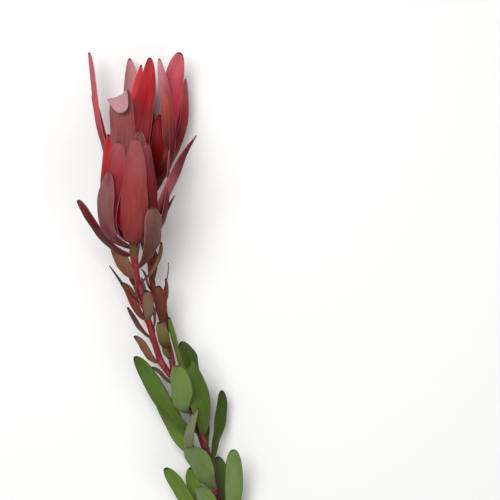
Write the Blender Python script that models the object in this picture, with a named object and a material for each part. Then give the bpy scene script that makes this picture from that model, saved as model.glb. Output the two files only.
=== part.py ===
"""A cut leucadendron stem lying on a flat surface.

One woody stem with green leaves forks into two red shoots, and each shoot ends in a flower head of
large red bracts round a small scaly cone. +Y runs from the cut end to the heads, +Z is up, and the
origin is on the surface, under the middle of the stem. Rows below are in millimetres and degrees.
"""
from collections import namedtuple

import bmesh
import bpy
import numpy as np

MM = 0.001

# Thickness and radii
BLADE_THICKNESS = 0.8
TIP_HALF_WIDTH = 0.5
CUT_END_RADIUS = 3.9
FORK_RADIUS = 3.3
SHOOT_BASE_RADIUS = 2.8
SHOOT_TIP_RADIUS = 2.6
ROOT_DEPTH = 0.4
CUT_SLANT = 0.45

# Lengths along the axes
RING_SPACING = 12.0
STUB_LENGTH = 14.0
JOINT_GAP = 0.3
PEDUNCLE_LENGTH = 19.0
FRONT_HEAD_START = 109.0
REAR_HEAD_START = 148.0
RECEPTACLE_LENGTH = 29.0
FLAP_LENGTH = 15.0
FLAP_BEND_RADIUS = 1.6
FLAP_SLANT = 20.0
FLAP_BEND_ANGLES = (40, 80, 120, 160)
FLAP_STEPS = (0.3, 0.6, 0.85, 1.0)

# Axis points, from the cut end to the fork and from the fork to the top of each head
STEM_POINTS = [(68.4, -249.5, 3.9), (61, -214, 8), (51, -170, 13), (44, -139, 17), (38.5, -113, 21),
               (31.5, -89, 25), (26, -71, 28.5), (16, -48, 34), (7, -35, 38)]
FRONT_POINTS = [(7, -35, 38), (-3, -21, 43), (-8.5, -5, 47.5), (-12.5, 10, 52), (-16, 23, 56),
                (-21, 43, 61), (-24.5, 60, 66), (-25.5, 73, 69), (-25, 83, 71), (-24, 107, 76),
                (-22, 170, 86)]
REAR_POINTS = [(7, -35, 38), (5, -18, 37), (1, -2, 35.5), (-3.5, 16, 34.5), (-8.5, 34, 33.5),
               (-12.5, 51, 33), (-14.5, 73, 32), (-15, 99, 31.5), (-14.5, 124, 31), (-13, 165, 29),
               (-12, 244, 27)]

# Radius of a head's peduncle and receptacle, and of its cone, against the length along the axis
RECEPTACLE_PROFILE = [(-PEDUNCLE_LENGTH, 2.6), (-9, 2.7), (0, 3.1), (9, 3.7), (17, 4.6), (23, 4.8),
                      (26, 3.6), (RECEPTACLE_LENGTH, 2.6)]
CONE_PROFILE = [(0, 2.4), (3, 4.2), (7, 5.4), (11, 5.6), (15, 4.8), (18, 3.1), (20, 1.0)]
CONE_SCALES = 26
CONE_SCALE_SIZE = 2.1
CONE_BARE_END = 2.0
GOLDEN_TURN = 137.508

# Sides of the round pieces, steps along a midrib, and the angle past which an edge is sharp
STEM_SIDES = 12
SHOOT_SIDES = 10
MIDRIB_STEPS = 60
SHARP_ANGLE = 40

# base: width at the root as a share of the widest; peak: where it is widest; blunt: roundness of the
# tip; cup: half angle of the cross section; start_pull, end_pull: how far each end keeps its direction;
# rows, columns: faces along and across
Form = namedtuple("Form", "base peak blunt cup start_pull end_pull rows columns")
GREEN_LEAF = Form(0.20, 0.61, 0.48, 0.32, 0.36, 0.36, 7, 4)
BLUNT_LEAF = Form(0.20, 0.67, 0.42, 0.35, 0.36, 0.36, 7, 4)
BOWED_LEAF = Form(0.24, 0.60, 0.48, 0.35, 0.50, 0.38, 7, 4)
SHOOT_LEAF = Form(0.38, 0.56, 0.44, 0.30, 0.36, 0.36, 5, 2)
BROAD_LEAF = Form(0.30, 0.62, 0.30, 0.30, 0.36, 0.36, 6, 2)
BRACT = Form(0.40, 0.48, 0.46, 0.75, 0.38, 0.45, 7, 4)
OPEN_BRACT = Form(0.20, 0.60, 0.50, 0.55, 0.50, 0.42, 7, 4)
LEAFY_BRACT = Form(0.20, 0.60, 0.46, 0.50, 0.40, 0.42, 7, 4)
PADDLE_BRACT = Form(0.30, 0.70, 0.40, 0.40, 0.40, 0.42, 7, 4)
NARROW_BRACT = Form(0.40, 0.46, 0.55, 0.40, 0.42, 0.32, 7, 2)
BAND_BRACT = Form(0.40, 0.55, 0.32, 0.40, 0.42, 0.32, 7, 2)
SWEPT_BRACT = Form(0.40, 0.40, 0.80, 0.40, 0.30, 0.30, 7, 4)
BROAD_BRACT = Form(0.40, 0.60, 0.35, 0.40, 0.42, 0.40, 6, 4)

# station: along the axis; turn: round it from the top, clockwise as the heads are looked at from the
# stem; tip: where the blade ends; lift, lean: angle to the axis at the root and at the tip; roll_root,
# roll_tip: turn of the face about the midrib
Blade = namedtuple("Blade", "form station turn tip width lift lean roll_root roll_tip")

STEM_LEAVES = [
    # On the upper side and the two flanks
    Blade(GREEN_LEAF, 174, -62, (-27, -15, 42), 17, 64, 24, 30, 55),
    Blade(GREEN_LEAF, 149, -100, (-16, -43, 0.2), 17, 66, 34, -40, -80),
    Blade(BLUNT_LEAF, 193, -62, (9.5, -21, 69), 25, 65, 6, 18, 18),
    Blade(GREEN_LEAF, 169, 33, (16.5, -15, 50), 22, 46, -12, 0, -10),
    Blade(BOWED_LEAF, 147, -70, (28, -59, 46), 11, 78, -45, 25, 25),
    Blade(BLUNT_LEAF, 120, -24, (21.5, -91.5, 60), 24, 62, 45, 0, 0),
    Blade(BLUNT_LEAF, 81, -62, (-1, -113, 32), 16, 64, 24, 20, 45),
    Blade(BOWED_LEAF, 104, -85, (21, -113, 26), 16, 80, -5, 30, 70),
    Blade(BLUNT_LEAF, 71, -32, (29, -126, 55), 21, 60, 35, 0, 0),
    Blade(BLUNT_LEAF, 67, 50, (58.5, -96, 38), 17, 24, 12, -10, -50),
    # Round the fork
    Blade(BLUNT_LEAF, 200, 75, (12.5, -2.5, 50), 19, 47, -25, -10, -30),
    Blade(BROAD_LEAF, 214, 110, (2.5, 19, 34), 8, 32, 20, -50, -60),
    Blade(SHOOT_LEAF, 224, -100, (-13, -25, 36), 6, 60, 45, -10, -20),
    # Underneath, and the lowest two before the bare cut end
    Blade(GREEN_LEAF, 156, 175, (22, -42, 6), 16, 50, 5, 0, 0),
    Blade(GREEN_LEAF, 141, 100, (48, -46, 20), 15, 22, 4, -40, -65),
    Blade(GREEN_LEAF, 93, 165, (44, -106, 5), 16, 50, 5, 10, 20),
    Blade(GREEN_LEAF, 52, -95, (25, -154, 14), 15, 60, 35, 0, -20),
    Blade(GREEN_LEAF, 40, 75, (73, -147, 22), 15, 60, 15, 0, -30),
]

FRONT_SHOOT_LEAVES = [
    Blade(SHOOT_LEAF, 74, -102, (-49, 64, 44), 5, 42, 22, 0, 0),
    Blade(SHOOT_LEAF, 60, -70, (-38, 49, 56), 9, 50, 45, 40, 60),
    Blade(SHOOT_LEAF, 42, -85, (-33, 28, 46), 8, 46, 12, 35, 40),
    Blade(SHOOT_LEAF, 20, -70, (-27, 3, 50), 8.5, 68, 36, 38, 48),
    Blade(SHOOT_LEAF, 78, 60, (-19, 54, 72), 5, 50, 5, 0, 0),
    Blade(SHOOT_LEAF, 77, -60, (-27, 49, 68), 5, 40, 15, 0, 0),
    Blade(SHOOT_LEAF, 60, 12, (-15, 43, 70), 10, 60, 15, 0, 0),
    Blade(SHOOT_LEAF, 50, 75, (-11, 31, 56), 6, 45, -5, 0, -20),
    Blade(SHOOT_LEAF, 64, 170, (-20, 47, 48), 8, 50, 10, 0, 0),
    Blade(SHOOT_LEAF, 84, -170, (-31, 64, 50), 9, 50, 10, 0, 0),
]

REAR_SHOOT_LEAVES = [
    Blade(SHOOT_LEAF, 79, -70, (-22, 61, 40), 4, 50, 45, 10, 10),
    Blade(SHOOT_LEAF, 87, 40, (-9, 77, 45), 6, 28, 8, 0, -20),
    Blade(SHOOT_LEAF, 60, 95, (2.3, 66.6, 44), 6, 12, 10, 0, 0),
    Blade(SHOOT_LEAF, 52, 70, (0, 53, 46), 6, 17, 0, 0, -20),
    Blade(SHOOT_LEAF, 50, 12, (-6.2, 46.8, 52), 11, 45, 10, 0, 0),
    Blade(BROAD_LEAF, 26, -18, (-4.5, 16, 61), 11, 68, 15, 0, 0),
    Blade(SHOOT_LEAF, 17, -30, (-2, -6, 48), 6, 55, 20, 0, 0),
    Blade(SHOOT_LEAF, 38, 175, (-6, 33, 22), 9, 50, 10, 0, 0),
    Blade(SHOOT_LEAF, 105, -150, (-22, 97, 20), 8, 50, 20, 0, 0),
]

# The stations of a head's blades count from the top of its peduncle
FRONT_BRACTS = [
    # On top and at the left
    Blade(BRACT, 20, 3, (-22, 170, 102), 25, 88, -10, 0, 0),
    Blade(LEAFY_BRACT, 21, -64, (-37, 168, 96), 24, 78, -5, -30, 40),
    Blade(BRACT, 25, -24, (-32, 149, 90), 21, 80, -8, 0, 0),
    Blade(BRACT, 24, -75, (-46, 175, 88), 20, 80, -6, 10, 30),
    Blade(OPEN_BRACT, 15, -70, (-45, 143, 97), 21.5, 80, -8, 28, 30),
    # At the right
    Blade(BLUNT_LEAF, -3, 70, (-9, 113, 99), 19, 57, -4, -30, -35),
    Blade(BRACT, 23, 47, (-12.5, 167, 95), 19.5, 80, -4, 0, -10),
    Blade(SWEPT_BRACT, 18, 88, (28, 174, 84), 15, 46, 35, -20, -50),
    Blade(NARROW_BRACT, 21, 92, (5, 163, 80), 14, 84, 2, -30, 0),
    Blade(NARROW_BRACT, 19, 120, (9, 124, 68), 7, 70, 30, 0, 0),
    # Underneath
    Blade(BRACT, 23, 175, (-20, 178, 76), 22, 65, -5, 0, 0),
    Blade(BRACT, 22, -140, (-38, 162, 72), 21, 70, 0, 0, 0),
    Blade(BRACT, 21, 145, (-14, 158, 74), 22, 70, -4, 0, 0),
    Blade(BRACT, 18, -165, (-35, 129, 63), 19, 78, -5, 0, 0),
    # Leaves below the head
    Blade(BROAD_LEAF, 9, -82, (-73.3, 120, 72), 10, 80, 30, 48, 52),
    Blade(SHOOT_LEAF, -11, -65, (-45, 80, 64), 13, 50, 35, 40, 60),
    Blade(SHOOT_LEAF, -16, 60, (-3.2, 84.5, 60), 6, 66, 4, -10, -20),
]

REAR_BRACTS = [
    # At the left
    Blade(BAND_BRACT, 20, -84, (-67.6, 250, 32), 11, 76, 13, 12, 32),
    Blade(BAND_BRACT, 18, -88, (-65, 213, 28), 13, 84, 19, 30, 35),
    Blade(BRACT, 23, -150, (-33.5, 247, 12), 19.5, 62, 8, 0, 0),
    # On top and at the right
    Blade(BRACT, 25, -70, (-22, 239, 34), 20, 65, -12, 10, 15),
    Blade(BRACT, 25, -34, (-14, 244, 45), 26, 75, -8, 0, 0),
    Blade(BRACT, 23, 41, (-5.3, 243, 48), 13, 74, -20, -22, -25),
    Blade(PADDLE_BRACT, 22, 72, (12, 250, 32), 19, 36, 13, -10, -60),
    Blade(BRACT, 21, 95, (16.5, 228, 22), 18, 38, -10, -20, -30),
    Blade(BRACT, 17, 33, (-5, 194, 54), 19, 46, -14, -22, -25),
    # Underneath
    Blade(BRACT, 21, -174, (-20, 236, 4), 20, 65, 0, 0, 0),
    Blade(BRACT, 19, 138, (2, 221, 0.9), 19, 44, 4, 0, 0),
    Blade(BRACT, 19, -132, (-37, 211, 2.4), 21, 75, 0, 0, 0),
]
FOLDED_TIP_BRACT = Blade(BROAD_BRACT, 20, -40, (-39, 208, 54), 24, 88, 10, 20, 30)


def unit(vector):
    return vector / np.linalg.norm(vector)


class Axis:
    """A smooth curve through given points, read by its length from the start."""

    def __init__(self, points):
        self.path = self.smooth(np.array(points, float))
        steps = np.linalg.norm(np.diff(self.path, axis=0), axis=1)
        self.lengths = np.concatenate([[0.0], np.cumsum(steps)])

    @staticmethod
    def smooth(points, per_span=12):
        """Catmull-Rom curve, with its ends carried on straight."""
        ends = np.vstack([2 * points[0] - points[1], points, 2 * points[-1] - points[-2]])
        curve = []
        for before, start, end, after in zip(ends, ends[1:], ends[2:], ends[3:]):
            for t in np.linspace(0, 1, per_span, endpoint=False):
                curve.append(0.5 * (2 * start + (end - before) * t
                                    + (2 * before - 5 * start + 4 * end - after) * t ** 2
                                    + (3 * start - before - 3 * end + after) * t ** 3))
        curve.append(points[-1])
        return np.array(curve)

    def point(self, station):
        return np.array([np.interp(station, self.lengths, self.path[:, k]) for k in range(3)])

    def frame(self, station, turn):
        """Point, direction and outward normal at a station; turn 0 looks up."""
        reach = 2.0
        direction = unit(self.point(station + reach) - self.point(station - reach))
        up = unit(np.array([0.0, 0.0, 1.0]) - direction * direction[2])
        side = np.cross(direction, up)
        angle = np.radians(turn)
        return self.point(station), direction, np.cos(angle) * up + np.sin(angle) * side


def relative_width(t, form):
    """Width at share t of the length, 1 where the blade is widest."""
    power = np.log(0.5) / np.log(form.peak)
    body = np.sin(np.pi * min(max(t, 0.0), 1.0) ** power) ** form.blunt if 0 < t < 1 else 0.0
    root = form.base * (1 - t) ** 3
    return root + (1 - root) * body


def midrib(axis, blade, offset, radius):
    """Bezier midrib from inside the axis to the tip, and the sideways direction at its root."""
    form = blade.form
    centre, direction, outward = axis.frame(blade.station + offset, blade.turn)
    root = centre + outward * radius * ROOT_DEPTH
    tip = np.array(blade.tip, float)
    lift, lean = np.radians([blade.lift, blade.lean])
    chord = np.linalg.norm(tip - root)
    leave = root + (direction * np.cos(lift) + outward * np.sin(lift)) * chord * form.start_pull
    arrive = tip - (direction * np.cos(lean) + outward * np.sin(lean)) * chord * form.end_pull
    u = np.linspace(0, 1, MIDRIB_STEPS)[:, None]
    curve = ((1 - u) ** 3 * root + 3 * (1 - u) ** 2 * u * leave
             + 3 * (1 - u) * u ** 2 * arrive + u ** 3 * tip)
    return curve, np.cross(direction, outward)


def blade_frames(axis, blade, offset, radius, flap=0.0):
    """Point, side, inner normal and share of length for each row of the blade.

    The rows crowd towards a plain tip, and are even on the straight part of a folded one.
    """
    curve, axis_side = midrib(axis, blade, offset, radius)
    steps = np.linalg.norm(np.diff(curve, axis=0), axis=1)
    lengths = np.concatenate([[0.0], np.cumsum(steps)])
    bend = np.pi * FLAP_BEND_RADIUS if flap else 0.0
    whole = lengths[-1] + bend + flap
    rows = blade.form.rows
    frames = []
    for row in range(rows + 1):
        share = row / rows if flap else np.sin(np.pi / 2 * row / rows)
        here = share * lengths[-1]
        reach = 0.03 * lengths[-1]
        point, ahead, behind = (np.array([np.interp(s, lengths, curve[:, k]) for k in range(3)])
                                for s in (here, here + reach, here - reach))
        direction = unit(ahead - behind)
        side = unit(axis_side - direction * np.dot(axis_side, direction))
        inner = np.cross(direction, side)
        roll = np.radians(blade.roll_root + (blade.roll_tip - blade.roll_root) * share)
        rolled = side * np.cos(roll) + inner * np.sin(roll)
        inner = inner * np.cos(roll) - side * np.sin(roll)
        slant = np.radians(FLAP_SLANT) * share ** 3 if flap else 0.0
        rolled = rolled * np.cos(slant) + direction * np.sin(slant)
        frames.append((point, rolled, inner, here / whole))
    if flap:
        ahead = np.cross(rolled, inner)
        frames += flap_frames(frames[-1], ahead, lengths[-1], bend, flap, whole)
    return frames


def flap_frames(last, direction, straight, bend, flap, whole):
    """Rows of a tip that is folded over outwards and hangs down the blade's own face."""
    point, side, inner, _ = last
    centre = point - inner * FLAP_BEND_RADIUS
    frames = []
    for angle in np.radians(FLAP_BEND_ANGLES):
        out = inner * np.cos(angle) + direction * np.sin(angle)
        frames.append((centre + out * FLAP_BEND_RADIUS, side, out,
                       (straight + bend * angle / np.pi) / whole))
    start, _, out, share = frames[-1]
    along = np.cross(side, out)
    for step in np.sin(np.pi / 2 * np.array(FLAP_STEPS)):
        frames.append((start + along * flap * step, side, out, share + (1 - share) * step))
    return frames


def blade_solid(frames, width, form):
    """Closed thin solid; both faces and the edges are split into triangles alike."""
    spread = np.linspace(-1, 1, form.columns + 1)
    faces_out, faces_in = [], []
    for point, side, inner, share in frames:
        half = max(0.5 * width * relative_width(share, form), TIP_HALF_WIDTH)
        angles = form.cup * spread
        across = half * np.sin(angles) / form.cup
        raised = half * (1 - np.cos(angles)) / form.cup
        normals = np.cos(angles)[:, None] * inner - np.sin(angles)[:, None] * side
        middle = point + across[:, None] * side + raised[:, None] * inner
        faces_in.append(middle + normals * BLADE_THICKNESS / 2)
        faces_out.append(middle - normals * BLADE_THICKNESS / 2)
    inside, outside = np.array(faces_in), np.array(faces_out)
    rows, columns = inside.shape[:2]
    points = np.vstack([inside.reshape(-1, 3), outside.reshape(-1, 3)])
    under = rows * columns
    triangles = []
    for i in range(rows - 1):
        for j in range(columns - 1):
            a, b = i * columns + j, i * columns + j + 1
            c, d = b + columns, a + columns
            triangles += [(a, b, c), (a, c, d)]
            triangles += [(under + a, under + c, under + b), (under + a, under + d, under + c)]
    rim = list(range(columns))
    rim += [i * columns + columns - 1 for i in range(1, rows)]
    rim += [(rows - 1) * columns + j for j in range(columns - 2, -1, -1)]
    rim += [i * columns for i in range(rows - 2, 0, -1)]
    for a, b in zip(rim, rim[1:] + rim[:1]):
        triangles += [(a, under + a, under + b), (a, under + b, b)]
    return points, triangles


def tube_solid(axis, stations, radii, sides, slant=0.0):
    """Round tube along an axis with fan caps; slant shears the first ring for a slanted cut."""
    angles = np.linspace(0, 2 * np.pi, sides, endpoint=False)
    points = []
    for row, (station, radius) in enumerate(zip(stations, radii)):
        centre, direction, up = axis.frame(station, 0)
        side = np.cross(direction, up)
        shear = slant if row == 0 else 0.0
        around = np.cos(angles)[:, None] * (up + shear * direction) + np.sin(angles)[:, None] * side
        points.append(centre + radius * around)
    rings = len(points)
    points = np.vstack(points + [axis.point(stations[0]), axis.point(stations[-1])])
    faces = []
    for i in range(rings - 1):
        for j in range(sides):
            a, b = i * sides + j, i * sides + (j + 1) % sides
            faces += [(a, b, b + sides), (a, b + sides, a + sides)]
    first, last = rings * sides, rings * sides + 1
    for j in range(sides):
        following = (j + 1) % sides
        faces.append((first, following, j))
        faces.append((last, (rings - 1) * sides + j, (rings - 1) * sides + following))
    return points, faces


def profile_tube(axis, offset, profile, sides):
    stations, radii = zip(*profile)
    return tube_solid(axis, [offset + s for s in stations], radii, sides)


def even_tube(axis, start, end, start_radius, end_radius, sides, slant=0.0):
    count = int(np.ceil((end - start) / RING_SPACING)) + 1
    return tube_solid(axis, np.linspace(start, end, count),
                      np.linspace(start_radius, end_radius, count), sides, slant)


def scale_solid(axis, offset, station, turn):
    """A pointed scale of the cone: a kite-shaped foot inside it and a point that stands out."""
    radius = np.interp(station, *zip(*CONE_PROFILE))
    centre, direction, outward = axis.frame(offset + station, turn)
    side = np.cross(direction, outward)
    foot = centre + outward * (radius - 0.5 * CONE_SCALE_SIZE)
    size = CONE_SCALE_SIZE
    corners = [foot - direction * size, foot + side * size, foot + direction * size, foot - side * size]
    point = centre + outward * (radius + 0.6 * size) + direction * 0.8 * size
    faces = [(0, 1, 4), (1, 2, 4), (2, 3, 4), (3, 0, 4), (0, 2, 1), (0, 3, 2)]
    return np.array(corners + [point]), faces


def mesh_object(name, solid):
    points, faces = solid
    mesh = bpy.data.meshes.new(name)
    mesh.from_pydata((points * MM).tolist(), [], faces)
    cleaner = bmesh.new()
    cleaner.from_mesh(mesh)
    bmesh.ops.recalc_face_normals(cleaner, faces=cleaner.faces)
    cleaner.to_mesh(mesh)
    cleaner.free()
    return bpy.data.objects.new(name, mesh)


def finish(name, colour, roughness):
    material = bpy.data.materials.new(name)
    material.use_nodes = True
    shader = material.node_tree.nodes["Principled BSDF"]
    shader.inputs["Base Color"].default_value = (*colour, 1.0)
    shader.inputs["Roughness"].default_value = roughness
    shader.inputs["Metallic"].default_value = 0.0
    return material


def leaf_finish():
    return finish("green leaf", (0.16, 0.22, 0.09), 0.5)


def shoot_finish(name):
    return finish(name + " bark", (0.30, 0.03, 0.04), 0.5)


def bract_finish(name):
    return finish(name + " bracts", (0.36, 0.06, 0.07), 0.45)


def cone_finish(name):
    return finish(name + " scales", (0.42, 0.36, 0.07), 0.6)


def fused(name, core, repeats, material):
    """One object: the core with every repeat joined to it by a Boolean union."""
    body = mesh_object(name, core)
    bpy.context.scene.collection.objects.link(body)
    group = bpy.data.collections.new(name + "_repeats")
    bpy.context.scene.collection.children.link(group)
    for number, solid in enumerate(repeats):
        group.objects.link(mesh_object("%s_%d" % (name, number), solid))
    union = body.modifiers.new("Union", "BOOLEAN")
    union.operation = "UNION"
    union.operand_type = "COLLECTION"
    union.collection = group
    union.solver = "EXACT"
    depsgraph = bpy.context.evaluated_depsgraph_get()
    joined = bpy.data.meshes.new_from_object(body.evaluated_get(depsgraph))
    body.modifiers.clear()
    body.data = joined
    for piece in list(group.objects):
        bpy.data.objects.remove(piece)
    bpy.data.collections.remove(group)
    tidy(joined)
    joined.materials.clear()
    joined.materials.append(material)
    joined.shade_smooth()
    joined.set_sharp_from_angle(angle=np.radians(SHARP_ANGLE))
    return body


def connected(vertices):
    """The vertices in groups that hold together."""
    waiting = set(vertices)
    groups = []
    while waiting:
        group, edge = set(), [waiting.pop()]
        while edge:
            vertex = edge.pop()
            group.add(vertex)
            near = {link.other_vert(vertex) for link in vertex.link_edges} & waiting
            waiting -= near
            edge += near
        groups.append(group)
    return groups


def tidy(mesh):
    """Triangles only, small sealed pockets filled, and the lowest points flat on the surface."""
    cleaner = bmesh.new()
    cleaner.from_mesh(mesh)
    bmesh.ops.remove_doubles(cleaner, verts=cleaner.verts, dist=1e-6)
    bmesh.ops.triangulate(cleaner, faces=cleaner.faces)
    groups = sorted(connected(cleaner.verts), key=len)
    for pocket in groups[:-1]:
        bmesh.ops.delete(cleaner, geom=list(pocket), context="VERTS")
    for vertex in cleaner.verts:
        vertex.co.z = max(vertex.co.z, 0.0)
    cleaner.to_mesh(mesh)
    cleaner.free()


def blades(axis, rows, radius, offset=0.0):
    return [blade_solid(blade_frames(axis, row, offset, radius), row.width, row.form) for row in rows]


def folded_blade(axis, row, radius, offset):
    frames = blade_frames(axis, row, offset, radius, FLAP_LENGTH)
    return blade_solid(frames, row.width, row.form)


def leafy_stem(stem, front, rear):
    core = even_tube(stem, 0, stem.lengths[-1], CUT_END_RADIUS, FORK_RADIUS, STEM_SIDES, CUT_SLANT)
    stubs = [even_tube(axis, 0, STUB_LENGTH, SHOOT_BASE_RADIUS, SHOOT_BASE_RADIUS, STEM_SIDES)
             for axis in (front, rear)]
    repeats = stubs + blades(stem, STEM_LEAVES, FORK_RADIUS)
    return fused("leafy_stem", core, repeats, leaf_finish())


def shoot(name, axis, head_start, leaves):
    end = head_start - PEDUNCLE_LENGTH - JOINT_GAP
    core = even_tube(axis, STUB_LENGTH + JOINT_GAP, end, SHOOT_BASE_RADIUS, SHOOT_TIP_RADIUS,
                     SHOOT_SIDES)
    repeats = blades(axis, leaves, SHOOT_BASE_RADIUS)
    return fused(name, core, repeats, shoot_finish(name))


def head(name, axis, start, rows, folded):
    core = profile_tube(axis, start, RECEPTACLE_PROFILE, SHOOT_SIDES)
    repeats = blades(axis, rows, SHOOT_TIP_RADIUS, start)
    repeats += [folded_blade(axis, row, SHOOT_TIP_RADIUS, start) for row in folded]
    return fused(name, core, repeats, bract_finish(name))


def cone(name, axis, start):
    core = profile_tube(axis, start, CONE_PROFILE, SHOOT_SIDES)
    rise = (CONE_PROFILE[-1][0] - 2 * CONE_BARE_END) / CONE_SCALES
    repeats = [scale_solid(axis, start, CONE_BARE_END + rise * number, GOLDEN_TURN * number)
               for number in range(CONE_SCALES)]
    return fused(name, core, repeats, cone_finish(name))


def main():
    for leftover in list(bpy.data.objects):
        bpy.data.objects.remove(leftover)
    stem, front, rear = Axis(STEM_POINTS), Axis(FRONT_POINTS), Axis(REAR_POINTS)
    leafy_stem(stem, front, rear)
    shoot("front_shoot", front, FRONT_HEAD_START, FRONT_SHOOT_LEAVES)
    shoot("rear_shoot", rear, REAR_HEAD_START, REAR_SHOOT_LEAVES)
    head("front_head", front, FRONT_HEAD_START, FRONT_BRACTS, [])
    head("rear_head", rear, REAR_HEAD_START, REAR_BRACTS, [FOLDED_TIP_BRACT])
    cone("front_cone", front, FRONT_HEAD_START + RECEPTACLE_LENGTH + JOINT_GAP)
    cone("rear_cone", rear, REAR_HEAD_START + RECEPTACLE_LENGTH + JOINT_GAP)


main()
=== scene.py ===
"""The looks of a cut leucadendron stem that lies on a pale surface.

A woody stem with waxy green leaves forks into two red shoots, and each shoot ends in a head of cupped
red bracts round a scaly cone. The rows are the solids' own, in millimetres and degrees, and each row
names the colour of its leaf or bract. Node inputs and properties are in metres.
"""
from collections import namedtuple

import bpy
import numpy as np
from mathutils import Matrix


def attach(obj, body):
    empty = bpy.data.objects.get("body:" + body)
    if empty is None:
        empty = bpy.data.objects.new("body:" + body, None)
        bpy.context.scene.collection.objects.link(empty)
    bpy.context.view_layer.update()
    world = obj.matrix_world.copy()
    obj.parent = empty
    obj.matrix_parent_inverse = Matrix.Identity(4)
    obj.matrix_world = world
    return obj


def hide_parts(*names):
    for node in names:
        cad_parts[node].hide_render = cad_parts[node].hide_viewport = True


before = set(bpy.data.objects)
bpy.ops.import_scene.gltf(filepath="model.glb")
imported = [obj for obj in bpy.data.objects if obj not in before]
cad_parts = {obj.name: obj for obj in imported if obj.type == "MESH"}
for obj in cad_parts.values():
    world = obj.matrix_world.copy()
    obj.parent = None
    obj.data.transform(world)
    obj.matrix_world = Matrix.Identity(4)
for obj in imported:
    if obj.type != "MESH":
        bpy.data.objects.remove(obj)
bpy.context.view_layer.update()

bl_info = {
    "name": "Leucadendron stem",
    "version": (1, 0, 0),
    "blender": (4, 5, 0),
    "location": "3D View > Sidebar > Leucadendron",
    "description": "Grows a forked leucadendron stem with leaves, bracts and cones",
    "category": "Add Mesh",
}

MM = 0.001

# Thickness, radii, lengths along the axes and angles, as in the solids
BLADE_THICKNESS = 0.8
CUT_END_RADIUS = 3.9
FORK_RADIUS = 3.3
SHOOT_BASE_RADIUS = 2.8
SHOOT_TIP_RADIUS = 2.6
ROOT_DEPTH = 0.4
CUT_SLANT = 0.45
STUB_LENGTH = 14.0
JOINT_GAP = 0.3
PEDUNCLE_LENGTH = 19.0
FRONT_HEAD_START = 109.0
REAR_HEAD_START = 148.0
RECEPTACLE_LENGTH = 29.0
FLAP_LENGTH = 15.0
FLAP_BEND_RADIUS = 1.6
FLAP_BEND = 160.0
FLAP_SLANT = 20.0
GOLDEN_TURN = 137.508

# Axis points, from the cut end to the fork and from the fork to the top of each head
STEM_POINTS = [(68.4, -249.5, 3.9), (61, -214, 8), (51, -170, 13), (44, -139, 17), (38.5, -113, 21),
               (31.5, -89, 25), (26, -71, 28.5), (16, -48, 34), (7, -35, 38)]
FRONT_POINTS = [(7, -35, 38), (-3, -21, 43), (-8.5, -5, 47.5), (-12.5, 10, 52), (-16, 23, 56),
                (-21, 43, 61), (-24.5, 60, 66), (-25.5, 73, 69), (-25, 83, 71), (-24, 107, 76),
                (-22, 170, 86)]
REAR_POINTS = [(7, -35, 38), (5, -18, 37), (1, -2, 35.5), (-3.5, 16, 34.5), (-8.5, 34, 33.5),
               (-12.5, 51, 33), (-14.5, 73, 32), (-15, 99, 31.5), (-14.5, 124, 31), (-13, 165, 29),
               (-12, 244, 27)]

# Radius of a head's peduncle and receptacle, and of its cone, against the length along the axis
RECEPTACLE_PROFILE = [(-PEDUNCLE_LENGTH, 2.6), (-9, 2.7), (0, 3.1), (9, 3.7), (17, 4.6), (23, 4.8),
                      (26, 3.6), (RECEPTACLE_LENGTH, 2.6)]
CONE_PROFILE = [(0, 2.4), (3, 4.2), (7, 5.4), (11, 5.6), (15, 4.8), (18, 3.1), (20, 1.0)]

# How fine the surfaces are: rows along a blade, sides of its section, rows and sides of the bark
BLADE_ROWS = 34
FLAP_BEND_ROWS = 9
FLAP_ROWS = 8
BLADE_SECTION = 26
MIDRIB_STEPS = 120
BARK_SPACING = 1.6
BARK_SIDES = 30

# How far to each side of a station its direction is taken: along an axis, and as a share of a midrib
AXIS_REACH = 2.0
MIDRIB_REACH = 0.03

# Radius of the hard point at the end of a blade, and its share of that on blades under a width
CALLUS_RADIUS = 0.55
SMALL_BLADE = 11
SMALL_CALLUS = 0.7

# Edges of the blades: how far they wave out of the plane, the width from which they do so fully, the
# waver of the width, how many waves of each kind, and the length over which a blade thins to its tip
EDGE_RIPPLE = 0.45
FULL_RIPPLE_WIDTH = 20
WIDTH_WAVER = 0.018
WAVER_COUNT = 2.1
WAVE_COUNT = 2.2
SWAY_COUNT = 1.5
TIP_TAPER = 6
LEAST_HALF_WIDTH = 0.02

# How much more or less often a blade waves than those counts, how much thicker it is at the root and how
# thin it gets at the tip, and how full its faces stay toward the rim
WAVE_BEATS = (0.8, 1.7)
ROOT_THICKENING = 0.45
TIP_THINNESS = 0.75
FACE_FULLNESS = 0.6

# Bark: depth of its grooves, rings of the cut face as shares of its radius, its rounded edge, how soon
# the slant of the cut fades, and where a head's green neck is from the head's start and how far it runs
BARK_GROOVE = 0.16
CUT_RINGS = (0.03, 0.3, 0.55, 0.8, 0.95)
CUT_EDGE = 0.12
SLANT_FADE = 5.0
NECK_PLACE = 15.0
NECK_REACH = 7.0

# Grooves are noise: how often it changes round the stem, and how that is drawn out along it
GROOVE_NOISE = 2.6
GROOVE_STRETCH = (1.0, 1.0, 45.0)

# Height of the cut, the fork, the shoots' feet, the necks and the heads' tops, from 0 to 1
CUT, FORK, SHOOT_FOOT, NECK, TOP = 0.0, 0.56, 0.62, 0.90, 1.0

# Share of the grooves' depth on the cut face and on its edge, and how far the bark of a shoot starts
# inside that of the stem
FACE_ROUGHNESS = 0.3
EDGE_ROUGHNESS = 0.6
BARK_OVERLAP = 0.5

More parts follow.
